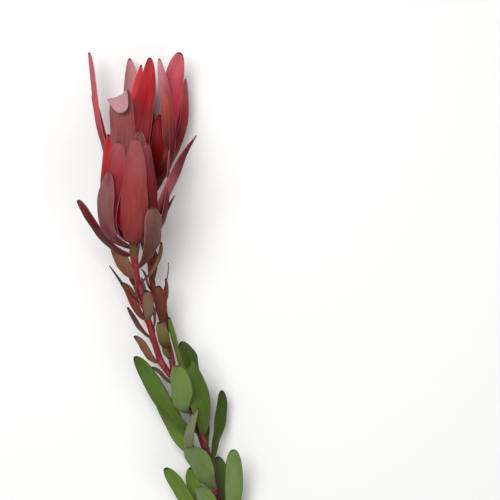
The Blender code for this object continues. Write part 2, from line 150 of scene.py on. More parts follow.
# Cushion under a leaf: how far toward the cut it is moved, how much wider it is than the leaf's foot at
# each side, its reach down the stem and the share of the leaf's width added to that, its depth in the
# bark, and its height
CUSHION_SHIFT = 1.0
CUSHION_MARGIN = 0.3
CUSHION_LENGTH = 3.5
CUSHION_GROWTH = 0.25
CUSHION_SINK = 0.5
CUSHION_HEIGHT = 1.3

# Scars: where they start and end along the stem, how far apart they are, their depth in the bark, and
# half their width, half their length and their height
SCARS_START, SCARS_END = 8, 62
SCAR_SPACING = 3.6
SCAR_SINK = 0.15
SCAR_SIZE = (1.5, 1.1, 0.45)

# Cone: its scales, the first one's place and the length that they take up, the power by which they crowd
# toward the top, the share of them from which they close over it, and how much less outward and more
# upward the last one looks
CONE_SCALES = 62
FIRST_SCALE = 1.2
SCALES_SPAN = 18.0
SCALES_CROWDING = 0.9
CLOSING_START = 0.55
CLOSING_OUT, CLOSING_UP = 0.5, 0.9

# Scale of a cone: its length, the shares of that for its half at the foot and for how much less it is at
# the top, and its breadth, height and depth in the cone as shares of its half
SCALE_LENGTH = 3.4
SCALE_HALF, SCALE_SHRINK = 0.62, 0.2
SCALE_BREADTH, SCALE_HEIGHT, SCALE_SINK = 0.8, 0.55, 0.25

# Core of a cone: how much slimmer and shorter it is than the cone, and its rings
CONE_CORE_GIRTH = 0.86
CONE_CORE_SHORTER = 0.5
CONE_CORE_RINGS = 12

FLOOR_SIDE = 8000

# In metres: no point of the stem is as far away
FAR = 10.0

# Nodes of arithmetic, kinds of the guides' values that aren't plain numbers, and what a mesh keeps
NUMBERS, VECTORS = "ShaderNodeMath", "ShaderNodeVectorMath"
VALUE_KINDS = {"tone": "INT", **dict.fromkeys(("centre", "inner", "direction", "outward", "size"),
                                              "FLOAT_VECTOR")}
KEPT_ATTRIBUTES = ("position", "blade_place", "blade_grain", "blade_reach", "bark_place", "bark_grain",
                   "material_index", "sharp_face", "sharp_edge")

# base: width at the root as a share of the widest; peak: where it is widest; blunt: roundness of the
# tip; cup: half angle of the cross section; start_pull, end_pull: how far each end keeps its direction
Form = namedtuple("Form", "base peak blunt cup start_pull end_pull")
GREEN_LEAF = Form(0.20, 0.61, 0.48, 0.32, 0.36, 0.36)
BLUNT_LEAF = Form(0.20, 0.67, 0.42, 0.35, 0.36, 0.36)
BOWED_LEAF = Form(0.24, 0.60, 0.48, 0.35, 0.50, 0.38)
SHOOT_LEAF = Form(0.38, 0.56, 0.44, 0.30, 0.36, 0.36)
BROAD_LEAF = Form(0.30, 0.62, 0.30, 0.30, 0.36, 0.36)
BRACT = Form(0.40, 0.48, 0.46, 0.75, 0.38, 0.45)
OPEN_BRACT = Form(0.20, 0.60, 0.50, 0.55, 0.50, 0.42)
LEAFY_BRACT = Form(0.20, 0.60, 0.46, 0.50, 0.40, 0.42)
PADDLE_BRACT = Form(0.30, 0.70, 0.40, 0.40, 0.40, 0.42)
NARROW_BRACT = Form(0.40, 0.46, 0.55, 0.40, 0.42, 0.32)
BAND_BRACT = Form(0.40, 0.55, 0.32, 0.40, 0.42, 0.32)
SWEPT_BRACT = Form(0.40, 0.40, 0.80, 0.40, 0.30, 0.30)
BROAD_BRACT = Form(0.40, 0.60, 0.35, 0.40, 0.42, 0.40)

# station: along the axis; turn: round it from the top, clockwise as the heads are looked at from the
# stem; tip: where the blade ends; lift, lean: angle to the axis at the root and at the tip; roll_root,
# roll_tip: turn of the face about the midrib; tone: its colour
Blade = namedtuple("Blade", "form station turn tip width lift lean roll_root roll_tip tone")

STEM_LEAVES = [
    # On the upper side and the two flanks
    Blade(GREEN_LEAF, 174, -62, (-27, -15, 42), 17, 64, 24, 30, 55, "green"),
    Blade(GREEN_LEAF, 149, -100, (-16, -43, 0.2), 17, 66, 34, -40, -80, "lime"),
    Blade(BLUNT_LEAF, 193, -62, (9.5, -21, 69), 25, 65, 6, 18, 18, "sage"),
    Blade(GREEN_LEAF, 169, 33, (16.5, -15, 50), 22, 46, -12, 0, -10, "green"),
    Blade(BOWED_LEAF, 147, -70, (28, -59, 46), 11, 78, -45, 25, 25, "silver"),
    Blade(BLUNT_LEAF, 120, -24, (21.5, -91.5, 60), 24, 62, 45, 0, 0, "sage"),
    Blade(BLUNT_LEAF, 81, -62, (-1, -113, 32), 16, 64, 24, 20, 45, "lime"),
    Blade(BOWED_LEAF, 104, -85, (21, -113, 26), 16, 80, -5, 30, 70, "lime"),
    Blade(BLUNT_LEAF, 71, -32, (29, -126, 55), 21, 60, 35, 0, 0, "sage"),
    Blade(BLUNT_LEAF, 67, 50, (58.5, -96, 38), 17, 24, 12, -10, -50, "sage"),
    # Round the fork
    Blade(BLUNT_LEAF, 200, 75, (12.5, -2.5, 50), 19, 47, -25, -10, -30, "dark"),
    Blade(BROAD_LEAF, 214, 110, (2.5, 19, 34), 8, 32, 20, -50, -60, "lime"),
    Blade(SHOOT_LEAF, 224, -100, (-13, -25, 36), 6, 60, 45, -10, -20, "plum"),
    # Underneath, and the lowest two before the bare cut end
    Blade(GREEN_LEAF, 156, 175, (22, -42, 6), 16, 50, 5, 0, 0, "green"),
    Blade(GREEN_LEAF, 141, 100, (48, -46, 20), 15, 22, 4, -40, -65, "dark"),
    Blade(GREEN_LEAF, 93, 165, (44, -106, 5), 16, 50, 5, 10, 20, "green"),
    Blade(GREEN_LEAF, 52, -95, (25, -154, 14), 15, 60, 35, 0, -20, "green"),
    Blade(GREEN_LEAF, 40, 75, (73, -147, 22), 15, 60, 15, 0, -30, "lime"),
]

FRONT_SHOOT_LEAVES = [
    Blade(SHOOT_LEAF, 74, -102, (-49, 64, 44), 5, 42, 22, 0, 0, "plum"),
    Blade(SHOOT_LEAF, 60, -70, (-38, 49, 56), 9, 50, 45, 40, 60, "russet"),
    Blade(SHOOT_LEAF, 42, -85, (-33, 28, 46), 8, 46, 12, 35, 40, "plum"),
    Blade(SHOOT_LEAF, 20, -70, (-27, 3, 50), 8.5, 68, 36, 38, 48, "taupe"),
    Blade(SHOOT_LEAF, 78, 60, (-19, 54, 72), 5, 50, 5, 0, 0, "plum"),
    Blade(SHOOT_LEAF, 77, -60, (-27, 49, 68), 5, 40, 15, 0, 0, "russet"),
    Blade(SHOOT_LEAF, 60, 12, (-15, 43, 70), 10, 60, 15, 0, 0, "taupe"),
    Blade(SHOOT_LEAF, 50, 75, (-11, 31, 56), 6, 45, -5, 0, -20, "russet"),
    Blade(SHOOT_LEAF, 64, 170, (-20, 47, 48), 8, 50, 10, 0, 0, "russet"),
    Blade(SHOOT_LEAF, 84, -170, (-31, 64, 50), 9, 50, 10, 0, 0, "plum"),
]

REAR_SHOOT_LEAVES = [
    Blade(SHOOT_LEAF, 79, -70, (-22, 61, 40), 4, 50, 45, 10, 10, "russet"),
    Blade(SHOOT_LEAF, 87, 40, (-9, 77, 45), 6, 28, 8, 0, -20, "plum"),
    Blade(SHOOT_LEAF, 60, 95, (2.3, 66.6, 44), 6, 12, 10, 0, 0, "plum"),
    Blade(SHOOT_LEAF, 52, 70, (0, 53, 46), 6, 17, 0, 0, -20, "russet"),
    Blade(SHOOT_LEAF, 50, 12, (-6.2, 46.8, 52), 11, 45, 10, 0, 0, "russet"),
    Blade(BROAD_LEAF, 26, -18, (-4.5, 16, 61), 11, 68, 15, 0, 0, "olive"),
    Blade(SHOOT_LEAF, 17, -30, (-2, -6, 48), 6, 55, 20, 0, 0, "olive"),
    Blade(SHOOT_LEAF, 38, 175, (-6, 33, 22), 9, 50, 10, 0, 0, "russet"),
    Blade(SHOOT_LEAF, 105, -150, (-22, 97, 20), 8, 50, 20, 0, 0, "plum"),
]

# The stations of a head's blades count from the top of its peduncle
FRONT_BRACTS = [
    # On top and at the left
    Blade(BRACT, 20, 3, (-22, 170, 102), 25, 88, -10, 0, 0, "dusty"),
    Blade(LEAFY_BRACT, 21, -64, (-37, 168, 96), 24, 78, -5, -30, 40, "claret"),
    # Painted light: this bract lies deep in the slit and takes the bright tone so that it glows there
    Blade(BRACT, 25, -24, (-32, 149, 90), 21, 80, -8, 0, 0, "bright"),
    Blade(BRACT, 24, -75, (-46, 175, 88), 20, 80, -6, 10, 30, "crimson"),
    Blade(OPEN_BRACT, 15, -70, (-45, 143, 97), 21.5, 80, -8, 28, 30, "mauve"),
    # At the right
    Blade(BLUNT_LEAF, -3, 70, (-9, 113, 99), 19, 57, -4, -30, -35, "taupe_bract"),
    Blade(BRACT, 23, 47, (-12.5, 167, 95), 19.5, 80, -4, 0, -10, "wine"),
    Blade(SWEPT_BRACT, 18, 88, (28, 174, 84), 15, 46, 35, -20, -50, "swept"),
    Blade(NARROW_BRACT, 21, 92, (5, 163, 80), 14, 84, 2, -30, 0, "wine"),
    Blade(NARROW_BRACT, 19, 120, (9, 124, 68), 7, 70, 30, 0, 0, "maroon"),
    # Underneath
    Blade(BRACT, 23, 175, (-20, 178, 76), 22, 65, -5, 0, 0, "dun"),
    Blade(BRACT, 22, -140, (-38, 162, 72), 21, 70, 0, 0, 0, "crimson"),
    Blade(BRACT, 21, 145, (-14, 158, 74), 22, 70, -4, 0, 0, "wine"),
    Blade(BRACT, 18, -165, (-35, 129, 63), 19, 78, -5, 0, 0, "mauve"),
    # Leaves below the head
    Blade(BROAD_LEAF, 9, -82, (-73.3, 120, 72), 10, 80, 30, 48, 52, "dun"),
    Blade(SHOOT_LEAF, -11, -65, (-45, 80, 64), 13, 50, 35, 40, 60, "taupe"),
    Blade(SHOOT_LEAF, -16, 60, (-3.2, 84.5, 60), 6, 66, 4, -10, -20, "taupe"),
]

REAR_BRACTS = [
    # At the left
    Blade(BAND_BRACT, 20, -84, (-67.6, 250, 32), 11, 76, 13, 12, 32, "pink"),
    Blade(BAND_BRACT, 18, -88, (-65, 213, 28), 13, 84, 19, 30, 35, "rose"),
    Blade(BRACT, 23, -150, (-33.5, 247, 12), 19.5, 62, 8, 0, 0, "pink"),
    # On top and at the right
    Blade(BRACT, 25, -70, (-22, 239, 34), 20, 65, -12, 10, 15, "bright"),
    Blade(BRACT, 25, -34, (-14, 244, 45), 26, 75, -8, 0, 0, "crimson"),
    Blade(BRACT, 23, 41, (-5.3, 243, 48), 13, 74, -20, -22, -25, "faded"),
    Blade(PADDLE_BRACT, 22, 72, (12, 250, 32), 19, 36, 13, -10, -60, "blush"),
    Blade(BRACT, 21, 95, (16.5, 228, 22), 18, 38, -10, -20, -30, "claret"),
    # This low bract takes the darkest red, partly its own colour and partly painted shade under the other
    # bracts
    Blade(BRACT, 17, 33, (-5, 194, 54), 19, 46, -14, -22, -25, "maroon"),
    # Underneath
    Blade(BRACT, 21, -174, (-20, 236, 4), 20, 65, 0, 0, 0, "crimson"),
    Blade(BRACT, 19, 138, (2, 221, 0.9), 19, 44, 4, 0, 0, "crimson"),
    Blade(BRACT, 19, -132, (-37, 211, 2.4), 21, 75, 0, 0, 0, "wine"),
]
FOLDED_TIP_BRACT = Blade(BROAD_BRACT, 20, -40, (-39, 208, 54), 24, 88, 10, 20, 30, "heather")


# finish: name of the material; about: which leaf or bract has it; code: its colour; wax: share of the
# grey bloom on it; low: how much of the root's colour the lower half takes, on the bracts partly their own
# darker foot and partly painted shade where they crowd, less than 0 for a foot paler than the body; top:
# where the body's own colour begins; tip: how much of the faded or browned tip colour the end takes;
# inner: how much paler the inner face is; callus: how dark the hard point is
Tone = namedtuple("Tone", "finish about code wax low top tip inner callus")
TONES = {
    "green": Tone("waxy green leaf", "Mature leaf", "4A621E", 0.06, 0.10, 0.50, 0.25, 0.12, 1.0),
    "sage": Tone("sage leaf with wax bloom", "Leaf under a thin wax bloom", "6A8240",
                 0.20, 0.05, 0.50, 0.10, 0.12, 0.5),
    "lime": Tone("young lime leaf", "Young leaf that light shines through", "607C2C",
                 0.04, 0.05, 0.50, 0.20, 0.12, 1.0),
    "silver": Tone("silver leaf with thick bloom", "Leaf under a thick wax bloom", "6E7450",
                   0.35, 0.15, 0.50, 0.10, 0.20, 1.0),
    "dark": Tone("shaded green leaf", "Leaf in the shade of the stem", "344A10",
                 0.02, 0.20, 0.50, 0.70, 0.05, 1.0),
    "olive": Tone("olive shoot leaf", "Small leaf that is still half green", "6A5A24",
                  0.12, 0.50, 0.50, 0.35, 0.10, 1.0),
    "russet": Tone("russet shoot leaf", "Small leaf that turns red", "6C2A20",
                   0.08, 0.40, 0.50, 0.50, 0.10, 1.0),
    "plum": Tone("plum shoot leaf", "Small leaf with a purple bloom", "522624",
                 0.15, 0.40, 0.50, 0.20, 0.10, 1.0),
    "taupe": Tone("taupe shoot leaf", "Small leaf with a grey bloom", "724634",
                  0.20, 0.25, 0.50, 0.20, 0.15, 1.0),
    "dusty": Tone("dusty red bract", "Bract with a brown wax bloom", "883230",
                  0.12, 0.15, 0.62, 0.20, 0.30, 0.4),
    "rose": Tone("rose bract", "Bract that is rose pink", "9C2830", 0.02, 0.10, 0.62, 0.12, 0.15, 0.4),
    "crimson": Tone("crimson bract", "Bract of the brightest red", "A41C24",
                    0.05, 0.65, 0.80, 0.05, 0.05, 1.0),
    "claret": Tone("claret bract", "Bract of cool dark red", "8A1E2A", 0.04, 0.70, 0.70, 0.30, 0.15, 0.6),
    "wine": Tone("wine red bract", "Bract of deep red", "6C121A", 0.02, 0.70, 0.62, 0.20, 0.10, 0.6),
    "maroon": Tone("maroon bract", "Bract of the darkest red", "6C0A0E", 0.0, 0.60, 0.62, 0.0, 0.0, 1.0),
    "mauve": Tone("mauve bract with bloom", "Outer bract under a grey bloom", "6C3232",
                  0.25, 0.12, 0.62, 0.15, 0.90, 0.4),
    "heather": Tone("heather bract with bloom", "Folded bract under a grey bloom", "843E3C",
                    0.25, 0.05, 0.62, 0.15, 0.90, 0.4),
    "dun": Tone("dun red bract", "Bract of dull brown red", "5E2622", 0.15, 0.90, 0.80, 0.10, 0.10, 0.4),
    "taupe_bract": Tone("taupe outer bract", "Lowest bract, still half a leaf", "5E362A",
                        0.25, 0.05, 0.62, 0.05, 0.20, 0.6),
    "swept": Tone("swept narrow bract", "Narrow bract that stands away from the head", "602226",
                  0.05, -3.6, 0.75, 0.0, 0.20, 1.0),
    "faded": Tone("faded olive bract", "Bract whose tip has faded to olive pink", "963C34",
                  0.06, 0.95, 0.66, 1.10, 0.60, 1.0),
    "pink": Tone("faded pink bract", "Bract whose tip has faded", "B6424E",
                 0.10, 0.75, 0.62, 0.60, 0.70, 1.0),
    "blush": Tone("blush pink bract", "Bract of warm bright pink", "C03848",
                  0.05, 0.60, 0.62, 0.50, 0.30, 1.0),
    "bright": Tone("bright red bract", "Bract lit through from behind", "CE2A34",
                   0.02, 0.30, 0.62, 0.10, 0.30, 1.0),
}
LEAF_TONES = ("green", "sage", "lime", "silver", "dark", "olive", "russet", "plum", "taupe")


def linear(code):
    """Linear colour of an sRGB hex code."""
    shares = [int(code[i:i + 2], 16) / 255 for i in (0, 2, 4)]
    return [s / 12.92 if s <= 0.04045 else ((s + 0.055) / 1.055) ** 2.4 for s in shares]


def colour(name, description, code):
    return bpy.props.FloatVectorProperty(name=name, description=description, subtype="COLOR", size=3,
                                         min=0, max=1, default=linear(code))


def length(name, description, millimetres):
    return bpy.props.FloatProperty(name=name, description=description, subtype="DISTANCE",
                                   unit="LENGTH", min=0, precision=5, default=millimetres * MM)


class LeucadendronSizes(bpy.types.PropertyGroup):
    thickness: length("Blade thickness", "Thickness of a leaf or bract in its middle", BLADE_THICKNESS)
    ripple: length("Edge ripple", "How far the edges of the blades wave out of their plane", EDGE_RIPPLE)
    groove: length("Bark groove", "Depth of the grooves along the bark", BARK_GROOVE)
    scale_length: length("Cone scale", "Length of a scale of the cones", SCALE_LENGTH)
    floor: length("Floor", "Side of the square surface that the stem lies on", FLOOR_SIDE)


class LeucadendronColours(bpy.types.PropertyGroup):
    # The bract root colour is their own dark foot and also paints the shade where the bracts crowd together
    bract_root: colour("Bract root", "Foot of the bracts", "460608")
    bract_tip: colour("Bract tip", "Faded end of the bracts", "B87C82")
    # The pale bract rim is partly the margins' own colour and partly a painted highlight along the edges
    bract_rim: colour("Bract rim", "Pale edge of the bracts", "B4707A")
    bract_inside: colour("Bract inside", "Pale inner face of the bracts", "C49498")
    leaf_root: colour("Leaf root", "Foot of the green leaves", "58281F")
    leaf_tip: colour("Leaf tip", "Browned end of the leaves", "4C2E20")
    leaf_rim: colour("Leaf rim", "Red edge of the green leaves", "4A2A20")
    callus: colour("Callus", "Hard tip of each leaf and bract", "201010")
    upper_bark: colour("Young bark", "Bark of the shoots", "8A1E28")
    lower_bark: colour("Old bark", "Bark of the lower stem", "320C0E")
    neck: colour("Neck", "Green collar below each head", "54481A")
    wood: colour("Cut wood", "Cut face of the stem", "C4BC90")
    cone: colour("Cone scale", "Scales of the young cone", "A08C38")
    floor: colour("Floor", "Surface that the stem lies on", "F2F2F1")


LeucadendronColours.__annotations__.update(
    (label, colour(tone.finish.capitalize(), tone.about, tone.code)) for label, tone in TONES.items())


def sizes():
    return bpy.context.scene.leucadendron_sizes


def colours():
    return bpy.context.scene.leucadendron_colours


def unit(vector):
    return vector / np.linalg.norm(vector)


def lengths_along(path):
    """Length of a path up to each of its points."""
    return np.concatenate([[0.0], np.cumsum(np.linalg.norm(np.diff(path, axis=0), axis=1))])


def point_along(path, lengths, station):
    return np.array([np.interp(station, lengths, path[:, k]) for k in range(3)])


class Axis:
    """A smooth curve through given points, read by its length from the start."""

    def __init__(self, points):
        self.path = self.smooth(np.array(points, float))
        self.lengths = lengths_along(self.path)

    @staticmethod
    def smooth(points, per_span=12):
        """Catmull-Rom curve, with its ends carried on straight."""
        ends = np.vstack([2 * points[0] - points[1], points, 2 * points[-1] - points[-2]])
        curve = []
        for before, start, end, after in zip(ends, ends[1:], ends[2:], ends[3:]):
            for t in np.linspace(0, 1, per_span, endpoint=False):
                curve.append(0.5 * (2 * start + (end - before) * t
                                    + (2 * before - 5 * start + 4 * end - after) * t ** 2
                                    + (3 * start - before - 3 * end + after) * t ** 3))
        curve.append(points[-1])
        return np.array(curve)

    def point(self, station):
        return point_along(self.path, self.lengths, station)

    def frame(self, station, turn):
        """Point, direction and outward normal at a station; turn 0 looks up."""
        direction = unit(self.point(station + AXIS_REACH) - self.point(station - AXIS_REACH))
        up = unit(np.array([0.0, 0.0, 1.0]) - direction * direction[2])
        side = np.cross(direction, up)
        angle = np.radians(turn)
        return self.point(station), direction, np.cos(angle) * up + np.sin(angle) * side


STEM = Axis(STEM_POINTS)

# head: length along the axis where the head starts; leaves: those of the shoot
Shoot = namedtuple("Shoot", "side axis head leaves bracts folded")
SHOOTS = (Shoot("front", Axis(FRONT_POINTS), FRONT_HEAD_START, FRONT_SHOOT_LEAVES, FRONT_BRACTS, []),
          Shoot("rear", Axis(REAR_POINTS), REAR_HEAD_START, REAR_SHOOT_LEAVES, REAR_BRACTS,
                [FOLDED_TIP_BRACT]))


def relative_width(t, form):
    """Width at share t of the length, 1 where the blade is widest."""
    power = np.log(0.5) / np.log(form.peak)
    body = np.sin(np.pi * min(max(t, 0.0), 1.0) ** power) ** form.blunt if 0 < t < 1 else 0.0
    root = form.base * (1 - t) ** 3
    return root + (1 - root) * body


def midrib(axis, blade, offset, radius):
    """Bezier midrib from inside the axis to the tip, and the sideways direction at its root."""
    form = blade.form
    centre, direction, outward = axis.frame(blade.station + offset, blade.turn)
    root = centre + outward * radius * ROOT_DEPTH
    tip = np.array(blade.tip, float)
    lift, lean = np.radians([blade.lift, blade.lean])
    chord = np.linalg.norm(tip - root)
    leave = root + (direction * np.cos(lift) + outward * np.sin(lift)) * chord * form.start_pull
    arrive = tip - (direction * np.cos(lean) + outward * np.sin(lean)) * chord * form.end_pull
    u = np.linspace(0, 1, MIDRIB_STEPS)[:, None]
    curve = ((1 - u) ** 3 * root + 3 * (1 - u) ** 2 * u * leave
             + 3 * (1 - u) * u ** 2 * arrive + u ** 3 * tip)
    return curve, np.cross(direction, outward)


def blade_frames(axis, blade, offset, radius, flap=0.0):
    """Point, side, inner normal and share of length for each row, and the blade's whole length."""
    curve, axis_side = midrib(axis, blade, offset, radius)
    lengths = lengths_along(curve)
    straight = lengths[-1]
    bend = np.pi * FLAP_BEND_RADIUS if flap else 0.0
    whole = straight + bend + flap
    frames = []
    for row in range(BLADE_ROWS + 1):
        share = row / BLADE_ROWS if flap else np.sin(np.pi / 2 * row / BLADE_ROWS)
        here, reach = share * straight, MIDRIB_REACH * straight
        point, ahead, behind = (point_along(curve, lengths, s) for s in (here, here + reach, here - reach))
        direction = unit(ahead - behind)
        side = unit(axis_side - direction * np.dot(axis_side, direction))
        inner = np.cross(direction, side)
        roll = np.radians(blade.roll_root + (blade.roll_tip - blade.roll_root) * share)
        rolled = side * np.cos(roll) + inner * np.sin(roll)
        inner = inner * np.cos(roll) - side * np.sin(roll)
        slant = np.radians(FLAP_SLANT) * share ** 3 if flap else 0.0
        rolled = rolled * np.cos(slant) + direction * np.sin(slant)
        frames.append((point, rolled, inner, here / whole))
    if flap:
        ahead = np.cross(rolled, inner)
        frames += flap_frames(frames[-1], ahead, straight, bend, flap, whole)
    return frames, whole


def flap_frames(last, direction, straight, bend, flap, whole):
    """Rows of a tip that is folded over outwards and hangs down the blade's own face."""
    point, side, inner, _ = last
    centre = point - inner * FLAP_BEND_RADIUS
    frames = []
    for angle in np.radians(np.linspace(0, FLAP_BEND, FLAP_BEND_ROWS + 1)[1:]):
        out = inner * np.cos(angle) + direction * np.sin(angle)
        frames.append((centre + out * FLAP_BEND_RADIUS, side, out,
                       (straight + bend * angle / np.pi) / whole))
    start, _, out, share = frames[-1]
    along = np.cross(side, out)
    for step in np.sin(np.pi / 2 * np.linspace(0, 1, FLAP_ROWS + 1)[1:]):
        frames.append((start + along * flap * step, side, out, share + (1 - share) * step))
    return frames


def add_node(tree, kind, inputs=None, **settings):
    """Adds a node with its settings; an input is a value, or the output that it is linked to."""
    node = tree.nodes.new(kind)
    for setting, value in settings.items():
        setattr(node, setting, value)
    for key, value in (inputs or {}).items():
        if isinstance(value, bpy.types.NodeSocket):
            tree.links.new(value, node.inputs[key])
        else:
            node.inputs[key].default_value = value
    return node


def reckon(tree, kind, known, steps):
    """Works out each step: its name, its operation, and the numbers and known values that it takes."""
    for name, operation, *parts in steps:
        sockets = (0, 3) if operation == "SCALE" else (0, 1, 2)
        inputs = {socket: known[part] if isinstance(part, str) else part
                  for socket, part in zip(sockets, parts)}
        known[name] = add_node(tree, kind, inputs, operation=operation).outputs[0]


def new_tree(name, inputs, labels):
    """An empty Geometry Nodes tree with named inputs, and what it knows: these and the guide's values."""
    tree = bpy.data.node_groups.new(name, "GeometryNodeTree")
    tree.interface.new_socket("Geometry", in_out="INPUT", socket_type="NodeSocketGeometry")
    for label, socket_type, default in inputs:
        socket = tree.interface.new_socket(label, in_out="INPUT", socket_type=socket_type)
        if default is not None:
            socket.default_value = default
    tree.interface.new_socket("Geometry", in_out="OUTPUT", socket_type="NodeSocketGeometry")
    known = {socket.name: socket for socket in tree.nodes.new("NodeGroupInput").outputs if socket.name}
    for label in labels:
        known[label] = add_node(tree, "GeometryNodeInputNamedAttribute", {"Name": label},
                                data_type=VALUE_KINDS.get(label, "FLOAT")).outputs[0]
    return tree, known


def sweep(tree, known, count):
    """Sweeps a circle along the guide; its points are told their angle round it."""
    known["index"] = add_node(tree, "GeometryNodeInputIndex").outputs[0]
    reckon(tree, NUMBERS, known, [("step", "DIVIDE", 2 * np.pi, count),
                                  ("section_angle", "MULTIPLY", "index", "step")])
    circle = add_node(tree, "GeometryNodeCurvePrimitiveCircle", {"Resolution": known[count]})
    section = add_node(tree, "GeometryNodeStoreNamedAttribute",
                       {"Geometry": circle.outputs[0], "Name": "angle", "Value": known["section_angle"]},
                       data_type="FLOAT", domain="POINT")
    rails = add_node(tree, "GeometryNodeMeshToCurve", {0: known["Geometry"]})
    return add_node(tree, "GeometryNodeCurveToMesh",
                    {"Curve": rails.outputs[0], "Profile Curve": section.outputs[0],
                     "Fill Caps": True}).outputs[0]


def swing_out(tree, known, angle, reach):
    """The place at a reach from the row's centre, along its inner normal turned about its direction."""
    known["normal"] = add_node(tree, "ShaderNodeVectorRotate",
                               {"Vector": known["inner"], "Axis": known["direction"],
                                "Angle": known[angle]}, rotation_type="AXIS_ANGLE").outputs[0]
    reckon(tree, VECTORS, known, [("arm", "SCALE", "normal", reach), ("place", "ADD", "centre", "arm")])


def end_tree(tree, geometry, materials, known, told=()):
    """Stores what the finishes read, puts the points in their places, none under the surface, and gives
    each tone its material."""
    for label, parts in told:
        vector = add_node(tree, "ShaderNodeCombineXYZ", dict(enumerate(known[part] for part in parts)))
        geometry = add_node(tree, "GeometryNodeStoreNamedAttribute",
                            {"Geometry": geometry, "Name": label, "Value": vector.outputs[0]},
                            data_type="FLOAT_VECTOR", domain="POINT").outputs[0]
    if "place" in known:
        reckon(tree, VECTORS, known, [("above", "MAXIMUM", "place", (-FAR, -FAR, 0.0))])
        geometry = add_node(tree, "GeometryNodeSetPosition",
                            {"Geometry": geometry, "Position": known["above"]}).outputs[0]
    geometry = add_node(tree, "GeometryNodeRealizeInstances", {0: geometry}).outputs[0]
    for number, material in enumerate(materials):
        chosen = add_node(tree, "FunctionNodeCompare", {2: known["tone"], 3: number},
                          data_type="INT", operation="EQUAL")
        geometry = add_node(tree, "GeometryNodeSetMaterial",
                            {"Geometry": geometry, "Selection": chosen.outputs[0],
                             "Material": material}).outputs[0]
    add_node(tree, "NodeGroupOutput", {0: geometry})


def guide_mesh(name, strands):
    """Loose edges along each strand of rows, with the named values of every row as attributes."""
    rows = [row for strand in strands for row in strand]
    edges, first = [], 0
    for strand in strands:
        edges += [(first + i, first + i + 1) for i in range(len(strand) - 1)]
        first += len(strand)
    mesh = bpy.data.meshes.new(name)
    mesh.from_pydata([row["centre"] for row in rows], edges, [])
    for label in rows[0]:
        kind = VALUE_KINDS.get(label, "FLOAT")
        attribute = mesh.attributes.new(label, kind, "POINT")
        attribute.data.foreach_set("vector" if kind == "FLOAT_VECTOR" else "value",
                                   np.array([row[label] for row in rows]).ravel())
    return mesh


def grown(name, strands, tree, values):
    """A plain mesh object from strands of rows and a Geometry Nodes tree with those inputs."""
    guide = guide_mesh(name + "_guide", strands)
    plan = bpy.data.objects.new(name + "_guide", guide)
    bpy.context.scene.collection.objects.link(plan)
    modifier = plan.modifiers.new("Grow", "NODES")
    modifier.node_group = tree
    for item in tree.interface.items_tree:
        if item.in_out == "INPUT" and item.name in values:
            modifier[item.identifier] = values[item.name]
    depsgraph = bpy.context.evaluated_depsgraph_get()
    mesh = bpy.data.meshes.new_from_object(plan.evaluated_get(depsgraph),
                                           preserve_all_data_layers=True, depsgraph=depsgraph)
    plan.modifiers.clear()
    bpy.data.objects.remove(plan)
    bpy.data.meshes.remove(guide)
    bpy.data.node_groups.remove(tree)
    mesh.name = name
    if mesh.materials[0] is None:
        mesh.materials.pop(index=0)
    for label in [a.name for a in mesh.attributes]:
        if label not in KEPT_ATTRIBUTES and not label.startswith("."):
            mesh.attributes.remove(mesh.attributes[label])
    mesh.shade_smooth()
    piece = bpy.data.objects.new(name, mesh)
    bpy.context.scene.collection.objects.link(piece)
    return piece


def blade_tree(materials):
    """Sweeps a thin lens-shaped section, bent into an arc, along every midrib."""
    tree, known = new_tree("Blades", [("Section", "NodeSocketInt", BLADE_SECTION),
                                      ("Thickness", "NodeSocketFloat", BLADE_THICKNESS * MM),
                                      ("Ripple", "NodeSocketFloat", EDGE_RIPPLE * MM)],
                           ("centre", "inner", "direction", "angle", "cup", "bow", "half", "thick",
                            "wave", "sway", "share", "along", "gap", "seed", "tone"))
    swept = sweep(tree, known, "Section")
    reckon(tree, NUMBERS, known, [
        ("across", "COSINE", "angle"),
        ("rise", "SINE", "angle"),
        # Face height: full over the middle, round at the rim
        ("rise_squared", "MULTIPLY", "rise", "rise"),
        ("fullness", "MULTIPLY_ADD", "rise_squared", -FACE_FULLNESS, 1 + FACE_FULLNESS),
        ("face", "MULTIPLY", "rise", "fullness"),
        # Wave of the edges: alike on both, and against each other
        ("swayed", "MULTIPLY_ADD", "sway", "across", "wave"),
        ("outness", "MULTIPLY", "across", "across"),
        ("edge_wave", "MULTIPLY", "swayed", "outness"),
        ("ripple", "MULTIPLY", "edge_wave", "Ripple"),
        ("depth", "MULTIPLY", "thick", "Thickness"),
        ("height", "MULTIPLY_ADD", "depth", "face", "ripple"),
        # The section is an arc: a point lies at its bow radius from the arc's centre
        ("turn", "MULTIPLY", "cup", "across"),
        ("reach", "SUBTRACT", "height", "bow"),
        # In metres: the way across the blade and to its rim
        ("sideways", "MULTIPLY", "across", "half"),
        ("distance", "ABSOLUTE", "sideways"),
        ("rim", "SUBTRACT", "half", "distance"),
    ])
    swing_out(tree, known, "turn", "reach")
    end_tree(tree, swept, materials, known, [
        ("blade_place", ("across", "share", "face")),
        ("blade_grain", ("sideways", "along", "seed")),
        ("blade_reach", ("rim", "gap", "half")),
    ])
    return tree


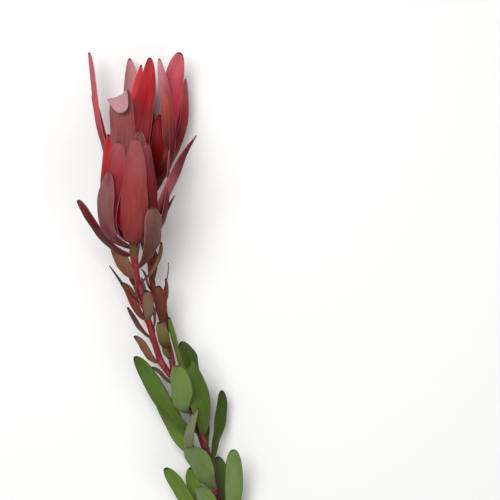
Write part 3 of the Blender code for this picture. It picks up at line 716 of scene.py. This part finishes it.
def blade_rows(frames, whole, blade, tone, chance):
    """The values of a blade's rows, in metres."""
    form = blade.form
    phases = chance.uniform(0, 2 * np.pi, 4)
    beats = chance.uniform(*WAVE_BEATS, 3)
    seed = chance.uniform(0, 1)
    callus = CALLUS_RADIUS * (SMALL_CALLUS if blade.width < SMALL_BLADE else 1.0)
    rows = []
    for point, side, inner, share in frames:
        gap = (1 - share) * whole
        waver, wave, sway = (np.sin(2 * np.pi * count * beats[i] * share + phases[i]) for i, count
                             in ((2, WAVER_COUNT), (0, WAVE_COUNT), (1, SWAY_COUNT)))
        # The hard point at the end is half a ball
        nub = callus * np.sqrt(max(0.0, 1 - max(0.0, 1 - gap / (2 * callus)) ** 2))
        half = 0.5 * blade.width * relative_width(share, form) * (1 + WIDTH_WAVER * waver)
        half = max(half, nub, LEAST_HALF_WIDTH)
        # Edges are calm at both ends, and on narrow blades
        calm = np.sin(np.pi * share) ** 0.7 * min(1.0, blade.width / FULL_RIPPLE_WIDTH)
        # Half thickness, greatest at the root and less over the last few millimetres
        thick = 0.5 + ROOT_THICKENING * (1 - share) ** 5
        if gap < TIP_TAPER:
            thick *= TIP_THINNESS + (1 - TIP_THINNESS) * gap / TIP_TAPER
        thick = min(max(thick, 0.9 * nub / BLADE_THICKNESS), half / BLADE_THICKNESS)
        rows.append({
            "centre": (point + inner * half / form.cup) * MM, "inner": inner,
            "direction": unit(np.cross(side, inner)), "cup": form.cup, "bow": half / form.cup * MM,
            "half": half * MM, "thick": thick, "wave": calm * wave, "sway": calm * sway, "share": share,
            "along": share * whole * MM, "gap": gap * MM, "seed": seed, "tone": tone,
        })
    return rows


def blades(name, axis, rows, radius, offset, folded=(), seed=1):
    """One piece with every blade of the rows; the folded ones have their tips turned over."""
    chance = np.random.default_rng(seed)
    tones = sorted({blade.tone for blade in [*rows, *folded]})
    strands = []
    for blade in [*rows, *folded]:
        flap = FLAP_LENGTH if blade in folded else 0.0
        frames, whole = blade_frames(axis, blade, offset, radius, flap)
        strands.append(blade_rows(frames, whole, blade, tones.index(blade.tone), chance))
    return grown(name, strands, blade_tree([blade_finish(tone) for tone in tones]),
                 {"Thickness": sizes().thickness, "Ripple": sizes().ripple})


def bark_tree(materials):
    """Sweeps a round section along an axis, with grooves along it and a slanted cut at its end."""
    tree, known = new_tree("Bark", [("Sides", "NodeSocketInt", BARK_SIDES),
                                    ("Groove", "NodeSocketFloat", BARK_GROOVE * MM)],
                           ("centre", "inner", "direction", "angle", "half", "slant", "rough", "height",
                            "along", "cut", "neck", "tone"))
    swept = sweep(tree, known, "Sides")
    reckon(tree, NUMBERS, known, [("cosine", "COSINE", "angle"), ("sine", "SINE", "angle")])
    # Grooves: noise that changes about seven times faster round the stem than along it
    known["round"] = add_node(tree, "ShaderNodeCombineXYZ",
                              {0: known["cosine"], 1: known["sine"], 2: known["along"]}).outputs[0]
    reckon(tree, VECTORS, known, [("fluted", "MULTIPLY", "round", GROOVE_STRETCH)])
    noise = add_node(tree, "ShaderNodeTexNoise",
                     {"Vector": known["fluted"], "Scale": GROOVE_NOISE, "Detail": 3.0})
    known["swing"] = add_node(tree, "ShaderNodeMapRange",
                              {0: noise.outputs[0], 1: 0.3, 2: 0.7, 3: -1.0, 4: 1.0}).outputs[0]
    reckon(tree, NUMBERS, known, [
        ("depth", "MULTIPLY", "swing", "Groove"),
        ("radius", "MULTIPLY_ADD", "depth", "rough", "half"),
        ("slope", "MULTIPLY", "cosine", "slant"),
        ("forward", "MULTIPLY", "slope", "radius"),
        # A point of the straightened stem, in metres
        ("flat_cosine", "MULTIPLY", "cosine", "radius"),
        ("flat_sine", "MULTIPLY", "sine", "radius"),
    ])
    swing_out(tree, known, "angle", "radius")
    reckon(tree, VECTORS, known, [("shear", "SCALE", "direction", "forward"),
                                  ("place", "ADD", "place", "shear")])
    end_tree(tree, swept, materials, known, [
        ("bark_grain", ("flat_cosine", "flat_sine", "along")),
        ("bark_place", ("height", "cut", "neck")),
    ])
    return tree


def bark_rows(axis, stations, radii, height, cut_end=False, neck=None):
    """The values of a stem's rings, in metres; height runs between its two ends."""
    rings = [(s, r, 0.0, 1.0) for s, r in zip(stations, radii)]
    if cut_end:
        face = [(stations[0], radii[0] * share, share, FACE_ROUGHNESS) for share in CUT_RINGS]
        rings = face + [(stations[0] + CUT_EDGE, radii[0], 0.0, EDGE_ROUGHNESS)] + rings[1:]
    rows = []
    for station, radius, cut, rough in rings:
        point, direction, up = axis.frame(station, 0)
        along = station - stations[0]
        rows.append({
            "centre": point * MM, "inner": up, "direction": direction, "half": radius * MM,
            "slant": CUT_SLANT * np.exp(-along / SLANT_FADE) if cut_end else 0.0, "rough": rough,
            "height": height[0] + (height[1] - height[0]) * along / (stations[-1] - stations[0]),
            "along": station * MM, "cut": cut,
            "neck": 0.0 if neck is None else np.exp(-((station - neck) / NECK_REACH) ** 2), "tone": 0,
        })
    return rows


def bark(name, strands):
    """One piece of bark from the rings of one or more stems."""
    return grown(name, strands, bark_tree([bark_finish()]), {"Groove": sizes().groove})


def even_stations(start, end):
    return np.linspace(start, end, int(np.ceil((end - start) / BARK_SPACING)) + 1)


def shoot_strand(axis, start, end, height):
    stations = even_stations(start, end)
    radii = np.interp(stations, [start, end], [SHOOT_BASE_RADIUS, SHOOT_TIP_RADIUS])
    return bark_rows(axis, stations, radii, height)


def head_strand(axis, start, height):
    stations = even_stations(start - PEDUNCLE_LENGTH, start + RECEPTACLE_LENGTH)
    radii = np.interp(stations - start, *zip(*RECEPTACLE_PROFILE))
    return bark_rows(axis, stations, radii, height, neck=start + NECK_PLACE)


def cone_strand(axis, start, height):
    """The body that the scales of a cone sit on, a little slimmer than they are."""
    stations = np.linspace(start, start + CONE_PROFILE[-1][0] - CONE_CORE_SHORTER, CONE_CORE_RINGS)
    radii = CONE_CORE_GIRTH * np.interp(stations - start, *zip(*CONE_PROFILE))
    return bark_rows(axis, stations, radii, height)


def scatter_tree(materials):
    """Puts a copy of one small form on every point, turned and sized by the point."""
    tree, known = new_tree("Scatter", [("Form", "NodeSocketObject", None)],
                           ("outward", "direction", "size", "tone"))
    form = add_node(tree, "GeometryNodeObjectInfo", {"Object": known["Form"]})
    turn = add_node(tree, "FunctionNodeAxesToRotation", {0: known["outward"], 1: known["direction"]},
                    primary_axis="Z", secondary_axis="Y")
    dots = add_node(tree, "GeometryNodeMeshToPoints", {0: known["Geometry"]})
    copies = add_node(tree, "GeometryNodeInstanceOnPoints",
                      {"Points": dots.outputs[0], "Instance": form.outputs["Geometry"],
                       "Rotation": turn.outputs[0], "Scale": known["size"]})
    end_tree(tree, copies.outputs[0], materials, known)
    return tree


def lobe(name, rings, sides=10):
    """A closed form along Y: each ring is its place, its half width, its top and its bottom height."""
    points = []
    for place, width, top, bottom in rings:
        for angle in np.linspace(0, 2 * np.pi, sides, endpoint=False):
            rise = np.sin(angle)
            points.append((width * np.cos(angle), place, rise * (top if rise > 0 else -bottom)))
    faces = [tuple(range(sides))]
    for i in range(len(rings) - 1):
        for j in range(sides):
            a, b = i * sides + j, i * sides + (j + 1) % sides
            faces.append((b, a, a + sides, b + sides))
    faces.append(tuple(reversed(range((len(rings) - 1) * sides, len(rings) * sides))))
    mesh = bpy.data.meshes.new(name)
    mesh.from_pydata(points, [], faces)
    return bpy.data.objects.new(name, mesh)


def scattered(name, form, copies, material):
    """One piece of many copies of a form: each has its place, outward normal, direction and size."""
    bpy.context.scene.collection.objects.link(form)
    strands = [[{"centre": centre * MM, "outward": outward, "direction": direction,
                 "size": np.array(size) * MM, "tone": 0}] for centre, outward, direction, size in copies]
    piece = grown(name, strands, scatter_tree([material]), {"Form": form})
    bpy.data.meshes.remove(form.data)
    return piece


def cushions(name, axis, rows, radius):
    """The swollen foot of each leaf, which runs a little way down the stem."""
    form = lobe("cushion", [(-1.0, 0.02, 0.02, 0.02), (-0.75, 0.30, 0.25, 0.3), (-0.4, 0.6, 0.55, 0.5),
                            (0.0, 0.9, 0.95, 0.8), (0.25, 1.0, 1.0, 0.9), (0.5, 0.7, 0.7, 0.7),
                            (0.65, 0.05, 0.05, 0.1)])
    copies = []
    for blade in rows:
        centre, direction, outward = axis.frame(blade.station - CUSHION_SHIFT, blade.turn)
        size = (0.5 * blade.width * blade.form.base + CUSHION_MARGIN,
                CUSHION_LENGTH + CUSHION_GROWTH * blade.width, CUSHION_HEIGHT)
        copies.append((centre + outward * (radius - CUSHION_SINK), outward, direction, size))
    # The cushions' bark is mixed a little toward pink, a painted highlight on the swollen leaf feet
    skin = skin_finish("leaf cushion skin", blended(colours().upper_bark, linear("BC5959"), 0.2),
                       list(colours().lower_bark), 3.0)
    return scattered(name, form, copies, skin)


def scars(name, axis, radius):
    """Oval scars in a spiral, where the lowest leaves were stripped off."""
    form = lobe("scar", [(-1.0, 0.05, 0.05, 0.05), (-0.7, 0.75, 0.6, 0.5), (0.0, 1.0, 1.0, 0.5),
                         (0.6, 0.8, 0.35, 0.5), (1.0, 0.05, 0.05, 0.05)])
    copies = []
    for number, station in enumerate(np.arange(SCARS_START, SCARS_END, SCAR_SPACING)):
        centre, direction, outward = axis.frame(station, GOLDEN_TURN * number)
        copies.append((centre + outward * (radius - SCAR_SINK), outward, direction, SCAR_SIZE))
    skin = skin_finish("dry leaf scar", linear("6F553F"), linear("3F2721"), 1.2)
    return scattered(name, form, copies, skin)


def cone_scales(name, axis, start):
    """Pointed scales in a golden spiral from the foot of the cone to its top."""
    form = lobe("scale", [(-1.0, 0.25, 0.15, 0.4), (-0.5, 0.85, 0.5, 0.5), (0.0, 1.0, 0.75, 0.5),
                          (0.45, 0.75, 0.8, 0.3), (0.8, 0.4, 0.75, -0.15), (1.0, 0.04, 0.5, -0.4)])
    copies = []
    for number in range(CONE_SCALES):
        share = number / (CONE_SCALES - 1)
        station = FIRST_SCALE + SCALES_SPAN * share ** SCALES_CROWDING
        radius = np.interp(station, *zip(*CONE_PROFILE))
        centre, direction, outward = axis.frame(start + station, GOLDEN_TURN * number)
        closing = max(0.0, share - CLOSING_START) / (1 - CLOSING_START)
        outward = unit(outward * (1 - CLOSING_OUT * closing) + direction * CLOSING_UP * closing)
        size = sizes().scale_length / MM * (SCALE_HALF - SCALE_SHRINK * share)
        copies.append((centre + outward * (radius - SCALE_SINK * size), outward, direction,
                       (size * SCALE_BREADTH, size, size * SCALE_HEIGHT)))
    skin = skin_finish("yellow-green cone scale", list(colours().cone), linear("814B30"), 4.0)
    return scattered(name, form, copies, skin)


def wear(piece, slot, *nodes):
    """The piece rides on the stem and stands for those solids, which it hides; slot is not used."""
    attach(piece, "root")
    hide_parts(*nodes)


def blended(first, second, share):
    return [a + (b - a) * share for a, b in zip(first, second)]


def new_finish(name):
    """A new material, its node tree and its shader."""
    material = bpy.data.materials.new(name)
    material.use_nodes = True
    return material, material.node_tree, material.node_tree.nodes["Principled BSDF"]


def mask(tree, *bands):
    """A share made of its bands multiplied; each runs from one strength to another between two readings."""
    share = 1.0
    for value, start, end, first, last in bands:
        run = add_node(tree, "ShaderNodeMapRange", {0: value, 1: start, 2: end, 3: first, 4: last},
                       interpolation_type="SMOOTHSTEP")
        share = add_node(tree, NUMBERS, {0: run.outputs[0], 1: share}, operation="MULTIPLY").outputs[0]
    return share


def painted(tree, share, stops, layers=()):
    """A colour that changes from stop to stop, with each layer laid over the ones before by its mask."""
    ramp = add_node(tree, "ShaderNodeValToRGB", {0: share})
    while len(ramp.color_ramp.elements) < len(stops):
        ramp.color_ramp.elements.new(0.5)
    for element, (position, shades) in zip(ramp.color_ramp.elements, stops):
        element.position = position
        element.color = (*shades, 1.0)
    paint = ramp.outputs[0]
    for cover, shades in layers:
        paint = add_node(tree, "ShaderNodeMix", {0: cover, 6: paint, 7: (*shades, 1.0)},
                         data_type="RGBA").outputs[2]
    return paint


def patches(tree, where, size, detail=3.0):
    """Soft noise whose patches have a size in millimetres along each axis."""
    spread = add_node(tree, "ShaderNodeMapping",
                      {0: where, "Scale": [1 / (side * MM) for side in size]})
    return add_node(tree, "ShaderNodeTexNoise",
                    {"Vector": spread.outputs[0], "Scale": 1.0, "Detail": detail}).outputs[0]


def relief(tree, shader, strength, parts):
    """Bump of about a third of a millimetre from the sum of its parts, each with its own height."""
    total = 0.0
    for value, height in parts:
        total = add_node(tree, NUMBERS, {0: value, 1: height, 2: total},
                         operation="MULTIPLY_ADD").outputs[0]
    bump = add_node(tree, "ShaderNodeBump", {"Height": total, "Strength": strength, "Distance": 0.3 * MM})
    tree.links.new(bump.outputs[0], shader.inputs["Normal"])


def blade_finish(tone):
    """A leathery waxed leaf: parallel veins, a reddened foot, a thin coloured rim and a dark hard tip."""
    kind = TONES[tone]
    if kind.finish in bpy.data.materials:
        return bpy.data.materials[kind.finish]
    material, tree, shader = new_finish(kind.finish)
    shades = colours()
    body = list(getattr(shades, tone))
    leaf = tone in LEAF_TONES
    root, tip, rim = ([shades.leaf_root, shades.leaf_tip, shades.leaf_rim] if leaf else
                      [shades.bract_root, shades.bract_tip, shades.bract_rim])
    told = [add_node(tree, "ShaderNodeAttribute", attribute_name=label).outputs["Vector"]
            for label in ("blade_place", "blade_grain", "blade_reach")]
    place, grain, reach = [add_node(tree, "ShaderNodeSeparateXYZ", {0: vector}).outputs for vector in told]
    # Each blade has its own part of the patterns
    where = add_node(tree, VECTORS, {0: told[1], 1: (1.0, 1.0, 30.0)}, operation="MULTIPLY").outputs[0]
    # The lower part takes the root's colour: on the bracts partly their own darker foot, partly painted
    # shade where they crowd
    lower, end = blended(body, root, kind.low), blended(body, tip, kind.tip)
    if leaf:
        stops = [(0.0, root), (0.05, blended(root, lower, 0.4)), (0.14, lower), (kind.top, body),
                 (0.86, body), (0.98, end)]
    else:
        stops = [(0.0, blended(root, lower, 0.2)), (0.12, blended(root, lower, 0.6)),
                 (kind.top - 0.2, lower), (kind.top, body), (0.97, end)]
    # Clouds of 9 mm, drawn out along the blade, and a bloom of wax in patches of 16 mm
    cloud = patches(tree, where, (9, 26, 900))
    wax = patches(tree, where, (16, 40, 900), 4.0)
    # Veins that run along the blade 0.9 mm apart, and a midrib
    vein = patches(tree, where, (0.9, 24, 900), 2.0)
    middle = add_node(tree, NUMBERS, {0: grain[0]}, operation="ABSOLUTE").outputs[0]
    rib = mask(tree, (middle, 0.2 * MM, 1.1 * MM, 0.10, 0.0))
    # The inner face pales toward the tip, and lower down stays dark as painted shade inside the head
    inner = mask(tree, (place[2], -0.1, 0.3, 0.0, 1.0), (place[1], 0.25, 0.75, 0.1, 0.85))
    deep = blended(body, linear("273C0D") if leaf else root, 0.5)
    pale = blended(body, linear("95A261"), 0.35) if leaf else [1.7 * part + 0.01 for part in body]
    inside = blended(body, linear("909E73") if leaf else shades.bract_inside, kind.inner)
    paint = painted(tree, place[1], stops, [
        (mask(tree, (cloud, 0.45, 0.68, 0.0, 0.45)), deep),
        (mask(tree, (vein, 0.52, 0.72, 0.0, 0.16 if leaf else 0.3)), pale),
        (rib, pale),
        (inner, inside),
        (mask(tree, (wax, 0.35, 0.65, 0.0, kind.wax)), linear("86907C" if leaf else "9B7E7C")),
        # Thin rim: red on the leaves; on the bracts pale, partly a painted highlight along the edge
        (mask(tree, (reach[0], 0.1 * MM, 0.8 * MM, 0.8 if leaf else 0.5, 0.0)), rim),
        (mask(tree, (reach[1], 0.8 * MM, 2.2 * MM, kind.callus, 0.0)), shades.callus),
    ])
    tree.links.new(paint, shader.inputs["Base Color"])
    tree.links.new(mask(tree, (wax, 0.3, 0.7, 0.40, 0.55)), shader.inputs["Roughness"])
    # Relief of the veins, the midrib and the skin's cells, which are drawn 0.5 mm wide to be seen
    skin = patches(tree, where, (0.5, 0.8, 900), 1.0)
    relief(tree, shader, 0.3, [(skin, 0.35), (vein, 1.0), (rib, 4.0)])
    # Light goes about a millimetre into a blade, green the deepest in leaves and red in bracts
    shader.inputs["Subsurface Weight"].default_value = 0.08
    shader.inputs["Subsurface Radius"].default_value = (0.5, 1.0, 0.25) if leaf else (1.0, 0.35, 0.2)
    shader.inputs["Subsurface Scale"].default_value = 1.2 * MM
    shader.inputs["Specular IOR Level"].default_value = 0.1 if leaf else 0.07
    return material


def bark_finish():
    """Young satin bark: red above and brown-red below, with fine fibres along it and pale pores."""
    name = "red leucadendron bark"
    if name in bpy.data.materials:
        return bpy.data.materials[name]
    material, tree, shader = new_finish(name)
    shades = colours()
    place_vector, where = [add_node(tree, "ShaderNodeAttribute", attribute_name=label).outputs["Vector"]
                           for label in ("bark_place", "bark_grain")]
    height, cut, neck = add_node(tree, "ShaderNodeSeparateXYZ", {0: place_vector}).outputs
    upper, lower = list(shades.upper_bark), list(shades.lower_bark)
    stops = [(0.0, blended(lower, linear("615035"), 0.4)), (0.16, lower),
             (0.46, blended(lower, upper, 0.30)), (0.6, blended(lower, upper, 0.80)), (1.0, upper)]
    # Fibres 0.6 mm wide and 8 mm long, and painted highlights in pink patches of 4 mm
    fibre = patches(tree, where, (0.6, 0.6, 8))
    blush = patches(tree, where, (4, 4, 8), 2.0)
    # Pores up to 0.7 mm wide and 1.2 mm long, some 6 mm apart
    dots = add_node(tree, "ShaderNodeMapping", {0: where, "Scale": (400, 400, 230)})
    pore = add_node(tree, "ShaderNodeTexVoronoi", {"Vector": dots.outputs[0], "Scale": 1.0})
    pores = mask(tree, (pore.outputs["Distance"], 0.10, 0.17, 0.5, 0.0))
    paint = painted(tree, height, stops, [
        (mask(tree, (fibre, 0.48, 0.70, 0.0, 0.5)), blended(lower, linear("191010"), 0.5)),
        # Painted highlights: pale pink patches, strongest on the young upper bark
        (mask(tree, (blush, 0.45, 0.70, 0.0, 0.5), (height, 0.3, 0.6, 0.1, 1.0)),
         blended(upper, linear("C48181"), 0.5)),
        (mask(tree, (neck, 0.0, 1.0, 0.0, 0.9)), shades.neck),
        (pores, linear("956F61")),
        (mask(tree, (cut, 0.0, 0.02, 0.0, 1.0)), shades.wood),
        (mask(tree, (cut, 0.80, 0.95, 0.0, 0.8)), linear("505927")),
    ])
    tree.links.new(paint, shader.inputs["Base Color"])
    tree.links.new(mask(tree, (fibre, 0.3, 0.7, 0.38, 0.6)), shader.inputs["Roughness"])
    relief(tree, shader, 0.5, [(pores, 0.8), (fibre, 1.0)])
    shader.inputs["Specular IOR Level"].default_value = 0.25
    return material


def skin_finish(name, base, spot, size):
    """Matte plant skin: one colour with patches of another, a few to each small part, and a fine grit."""
    if name in bpy.data.materials:
        return bpy.data.materials[name]
    material, tree, shader = new_finish(name)
    where = add_node(tree, "ShaderNodeTexCoord").outputs["Object"]
    cloud = patches(tree, where, (size, size, size), 4.0)
    grit = patches(tree, where, (size / 4, size / 4, size / 4))
    tree.links.new(painted(tree, cloud, [(0.42, base), (0.68, spot)]), shader.inputs["Base Color"])
    tree.links.new(mask(tree, (grit, 0.3, 0.7, 0.45, 0.65)), shader.inputs["Roughness"])
    relief(tree, shader, 0.3, [(grit, 1.0)])
    shader.inputs["Specular IOR Level"].default_value = 0.25
    return material


def floor_finish():
    """Plain matt paper: an even pale surface with a fibre grain too faint to see as a pattern."""
    material, tree, shader = new_finish("pale matt paper")
    base = list(colours().floor)
    grain = patches(tree, add_node(tree, "ShaderNodeTexCoord").outputs["Object"], (1.2, 1.2, 1.2), 2.0)
    paint = painted(tree, grain, [(0.3, base), (0.7, blended(base, linear("CBCBCB"), 0.02))])
    tree.links.new(paint, shader.inputs["Base Color"])
    shader.inputs["Roughness"].default_value = 0.9
    return material


class LEUCADENDRON_OT_main_stem(bpy.types.Operator):
    """Grow the bark of the main stem and the fork, its leaf cushions and its scars"""
    bl_idname = "leucadendron.main_stem"
    bl_label = "Main stem"

    def execute(self, context):
        stations = even_stations(0, STEM.lengths[-1])
        radii = np.interp(stations, [0, STEM.lengths[-1]], [CUT_END_RADIUS, FORK_RADIUS])
        strands = [bark_rows(STEM, stations, radii, (CUT, FORK), cut_end=True)]
        strands += [shoot_strand(shoot.axis, 0, STUB_LENGTH, (FORK, SHOOT_FOOT)) for shoot in SHOOTS]
        for piece in (bark("main_stem", strands),
                      cushions("stem_leaf_cushions", STEM, STEM_LEAVES, FORK_RADIUS),
                      scars("leaf_scars", STEM, CUT_END_RADIUS)):
            wear(piece, "red_shoot", "leafy_stem")
        return {"FINISHED"}


class LEUCADENDRON_OT_green_leaves(bpy.types.Operator):
    """Grow the green leaves of the main stem"""
    bl_idname = "leucadendron.green_leaves"
    bl_label = "Green leaves"

    def execute(self, context):
        wear(blades("green_leaves", STEM, STEM_LEAVES, FORK_RADIUS, 0, seed=3), "green_leaf", "leafy_stem")
        return {"FINISHED"}


class LEUCADENDRON_OT_shoots(bpy.types.Operator):
    """Grow the two red shoots with their small leaves"""
    bl_idname = "leucadendron.shoots"
    bl_label = "Red shoots"

    def execute(self, context):
        for side, axis, head, leaves, _, _ in SHOOTS:
            strand = shoot_strand(axis, STUB_LENGTH - BARK_OVERLAP, head - PEDUNCLE_LENGTH,
                                  (SHOOT_FOOT, NECK))
            for piece in (bark(side + "_shoot_bark", [strand]),
                          blades(side + "_shoot_leaves", axis, leaves, SHOOT_BASE_RADIUS, 0, seed=5),
                          cushions(side + "_leaf_cushions", axis, leaves, SHOOT_BASE_RADIUS)):
                wear(piece, "red_shoot", side + "_shoot")
        return {"FINISHED"}


class LEUCADENDRON_OT_heads(bpy.types.Operator):
    """Grow the two heads of bracts with their receptacles"""
    bl_idname = "leucadendron.heads"
    bl_label = "Flower heads"

    def execute(self, context):
        for side, axis, head, _, bracts, folded in SHOOTS:
            for piece in (bark(side + "_receptacle", [head_strand(axis, head, (NECK, TOP))]),
                          blades(side + "_bracts", axis, bracts, SHOOT_TIP_RADIUS, head, folded, seed=7)):
                wear(piece, "bract", side + "_head")
        return {"FINISHED"}


class LEUCADENDRON_OT_cones(bpy.types.Operator):
    """Grow the young scaly cone inside each head"""
    bl_idname = "leucadendron.cones"
    bl_label = "Cones"

    def execute(self, context):
        for side, axis, head, *_ in SHOOTS:
            foot = head + RECEPTACLE_LENGTH + JOINT_GAP
            for piece in (bark(side + "_cone_core", [cone_strand(axis, foot, (NECK, TOP))]),
                          cone_scales(side + "_cone_scales", axis, foot)):
                wear(piece, "cone", side + "_cone")
        return {"FINISHED"}


# The camera looks straight down, and its height and lens give 0.86 mm for each of 500 pixels
CAMERA_PLACE = (0.0731, 0.0774, 1.555)
CAMERA_SENSOR = 36.0
VIEW_WIDTH = 0.430
VIEW_DISTANCE = 1.5

# The two soft lights, which look at the middle of the stem: name, place, side of the square, power
LIGHTS = (("key", (-0.35, 0.5, 1.5), 0.9, 21.0), ("fill", (0.8, -0.5, 1.3), 1.2, 5.0))
LIGHTS_AIM = (0.0, 0.06, 0.04)
ROOM_LIGHT = 0.34


class LEUCADENDRON_OT_stage(bpy.types.Operator):
    """Make the floor, the soft lights and the camera"""
    bl_idname = "leucadendron.stage"
    bl_label = "Stage"

    def execute(self, context):
        scene = context.scene
        half = sizes().floor / 2
        mesh = bpy.data.meshes.new("floor")
        mesh.from_pydata([(-half, -half, 0), (half, -half, 0), (half, half, 0), (-half, half, 0)],
                         [], [(0, 1, 2, 3)])
        mesh.materials.append(floor_finish())
        floor = bpy.data.objects.new("floor", mesh)
        scene.collection.objects.link(floor)
        world = bpy.data.worlds.new("soft room")
        world.use_nodes = True
        background = world.node_tree.nodes["Background"]
        background.inputs["Color"].default_value = (1.0, 1.0, 1.0, 1.0)
        background.inputs["Strength"].default_value = ROOM_LIGHT
        scene.world = world
        for name, place, side, power in LIGHTS:
            light = bpy.data.lights.new(name, "AREA")
            light.shape = "SQUARE"
            light.size = side
            light.energy = power
            lamp = bpy.data.objects.new(name, light)
            scene.collection.objects.link(lamp)
            lamp.location = place
            aim = unit(np.array(LIGHTS_AIM) - np.array(place))
            lamp.rotation_euler = (np.arccos(-aim[2]), 0.0, np.arctan2(aim[0], -aim[1]) + np.pi)
        camera = bpy.data.cameras.new("camera")
        camera.sensor_width = CAMERA_SENSOR
        camera.lens = CAMERA_SENSOR * VIEW_DISTANCE / VIEW_WIDTH
        viewer = bpy.data.objects.new("camera", camera)
        viewer.location = CAMERA_PLACE
        scene.collection.objects.link(viewer)
        scene.camera = viewer
        scene.view_settings.view_transform = "Standard"
        return {"FINISHED"}


class LEUCADENDRON_PT_panel(bpy.types.Panel):
    """Sizes, colours and pieces of the leucadendron stem"""
    bl_idname = "LEUCADENDRON_PT_panel"
    bl_label = "Leucadendron stem"
    bl_space_type = "VIEW_3D"
    bl_region_type = "UI"
    bl_category = "Leucadendron"

    def draw(self, context):
        for group in (context.scene.leucadendron_sizes, context.scene.leucadendron_colours):
            for label in type(group).__annotations__:
                self.layout.prop(group, label)
        for operator in OPERATORS:
            self.layout.operator(operator.bl_idname)


OPERATORS = (LEUCADENDRON_OT_main_stem, LEUCADENDRON_OT_green_leaves, LEUCADENDRON_OT_shoots,
             LEUCADENDRON_OT_heads, LEUCADENDRON_OT_cones, LEUCADENDRON_OT_stage)
CLASSES = (LeucadendronSizes, LeucadendronColours, *OPERATORS, LEUCADENDRON_PT_panel)


def register():
    for kind in CLASSES:
        bpy.utils.register_class(kind)
    bpy.types.Scene.leucadendron_sizes = bpy.props.PointerProperty(type=LeucadendronSizes)
    bpy.types.Scene.leucadendron_colours = bpy.props.PointerProperty(type=LeucadendronColours)


def unregister():
    del bpy.types.Scene.leucadendron_colours
    del bpy.types.Scene.leucadendron_sizes
    for kind in reversed(CLASSES):
        bpy.utils.unregister_class(kind)


def main():
    register()
    bpy.ops.leucadendron.main_stem()
    bpy.ops.leucadendron.green_leaves()
    bpy.ops.leucadendron.shoots()
    bpy.ops.leucadendron.heads()
    bpy.ops.leucadendron.cones()
    bpy.ops.leucadendron.stage()


if __name__ == "__main__":
    main()
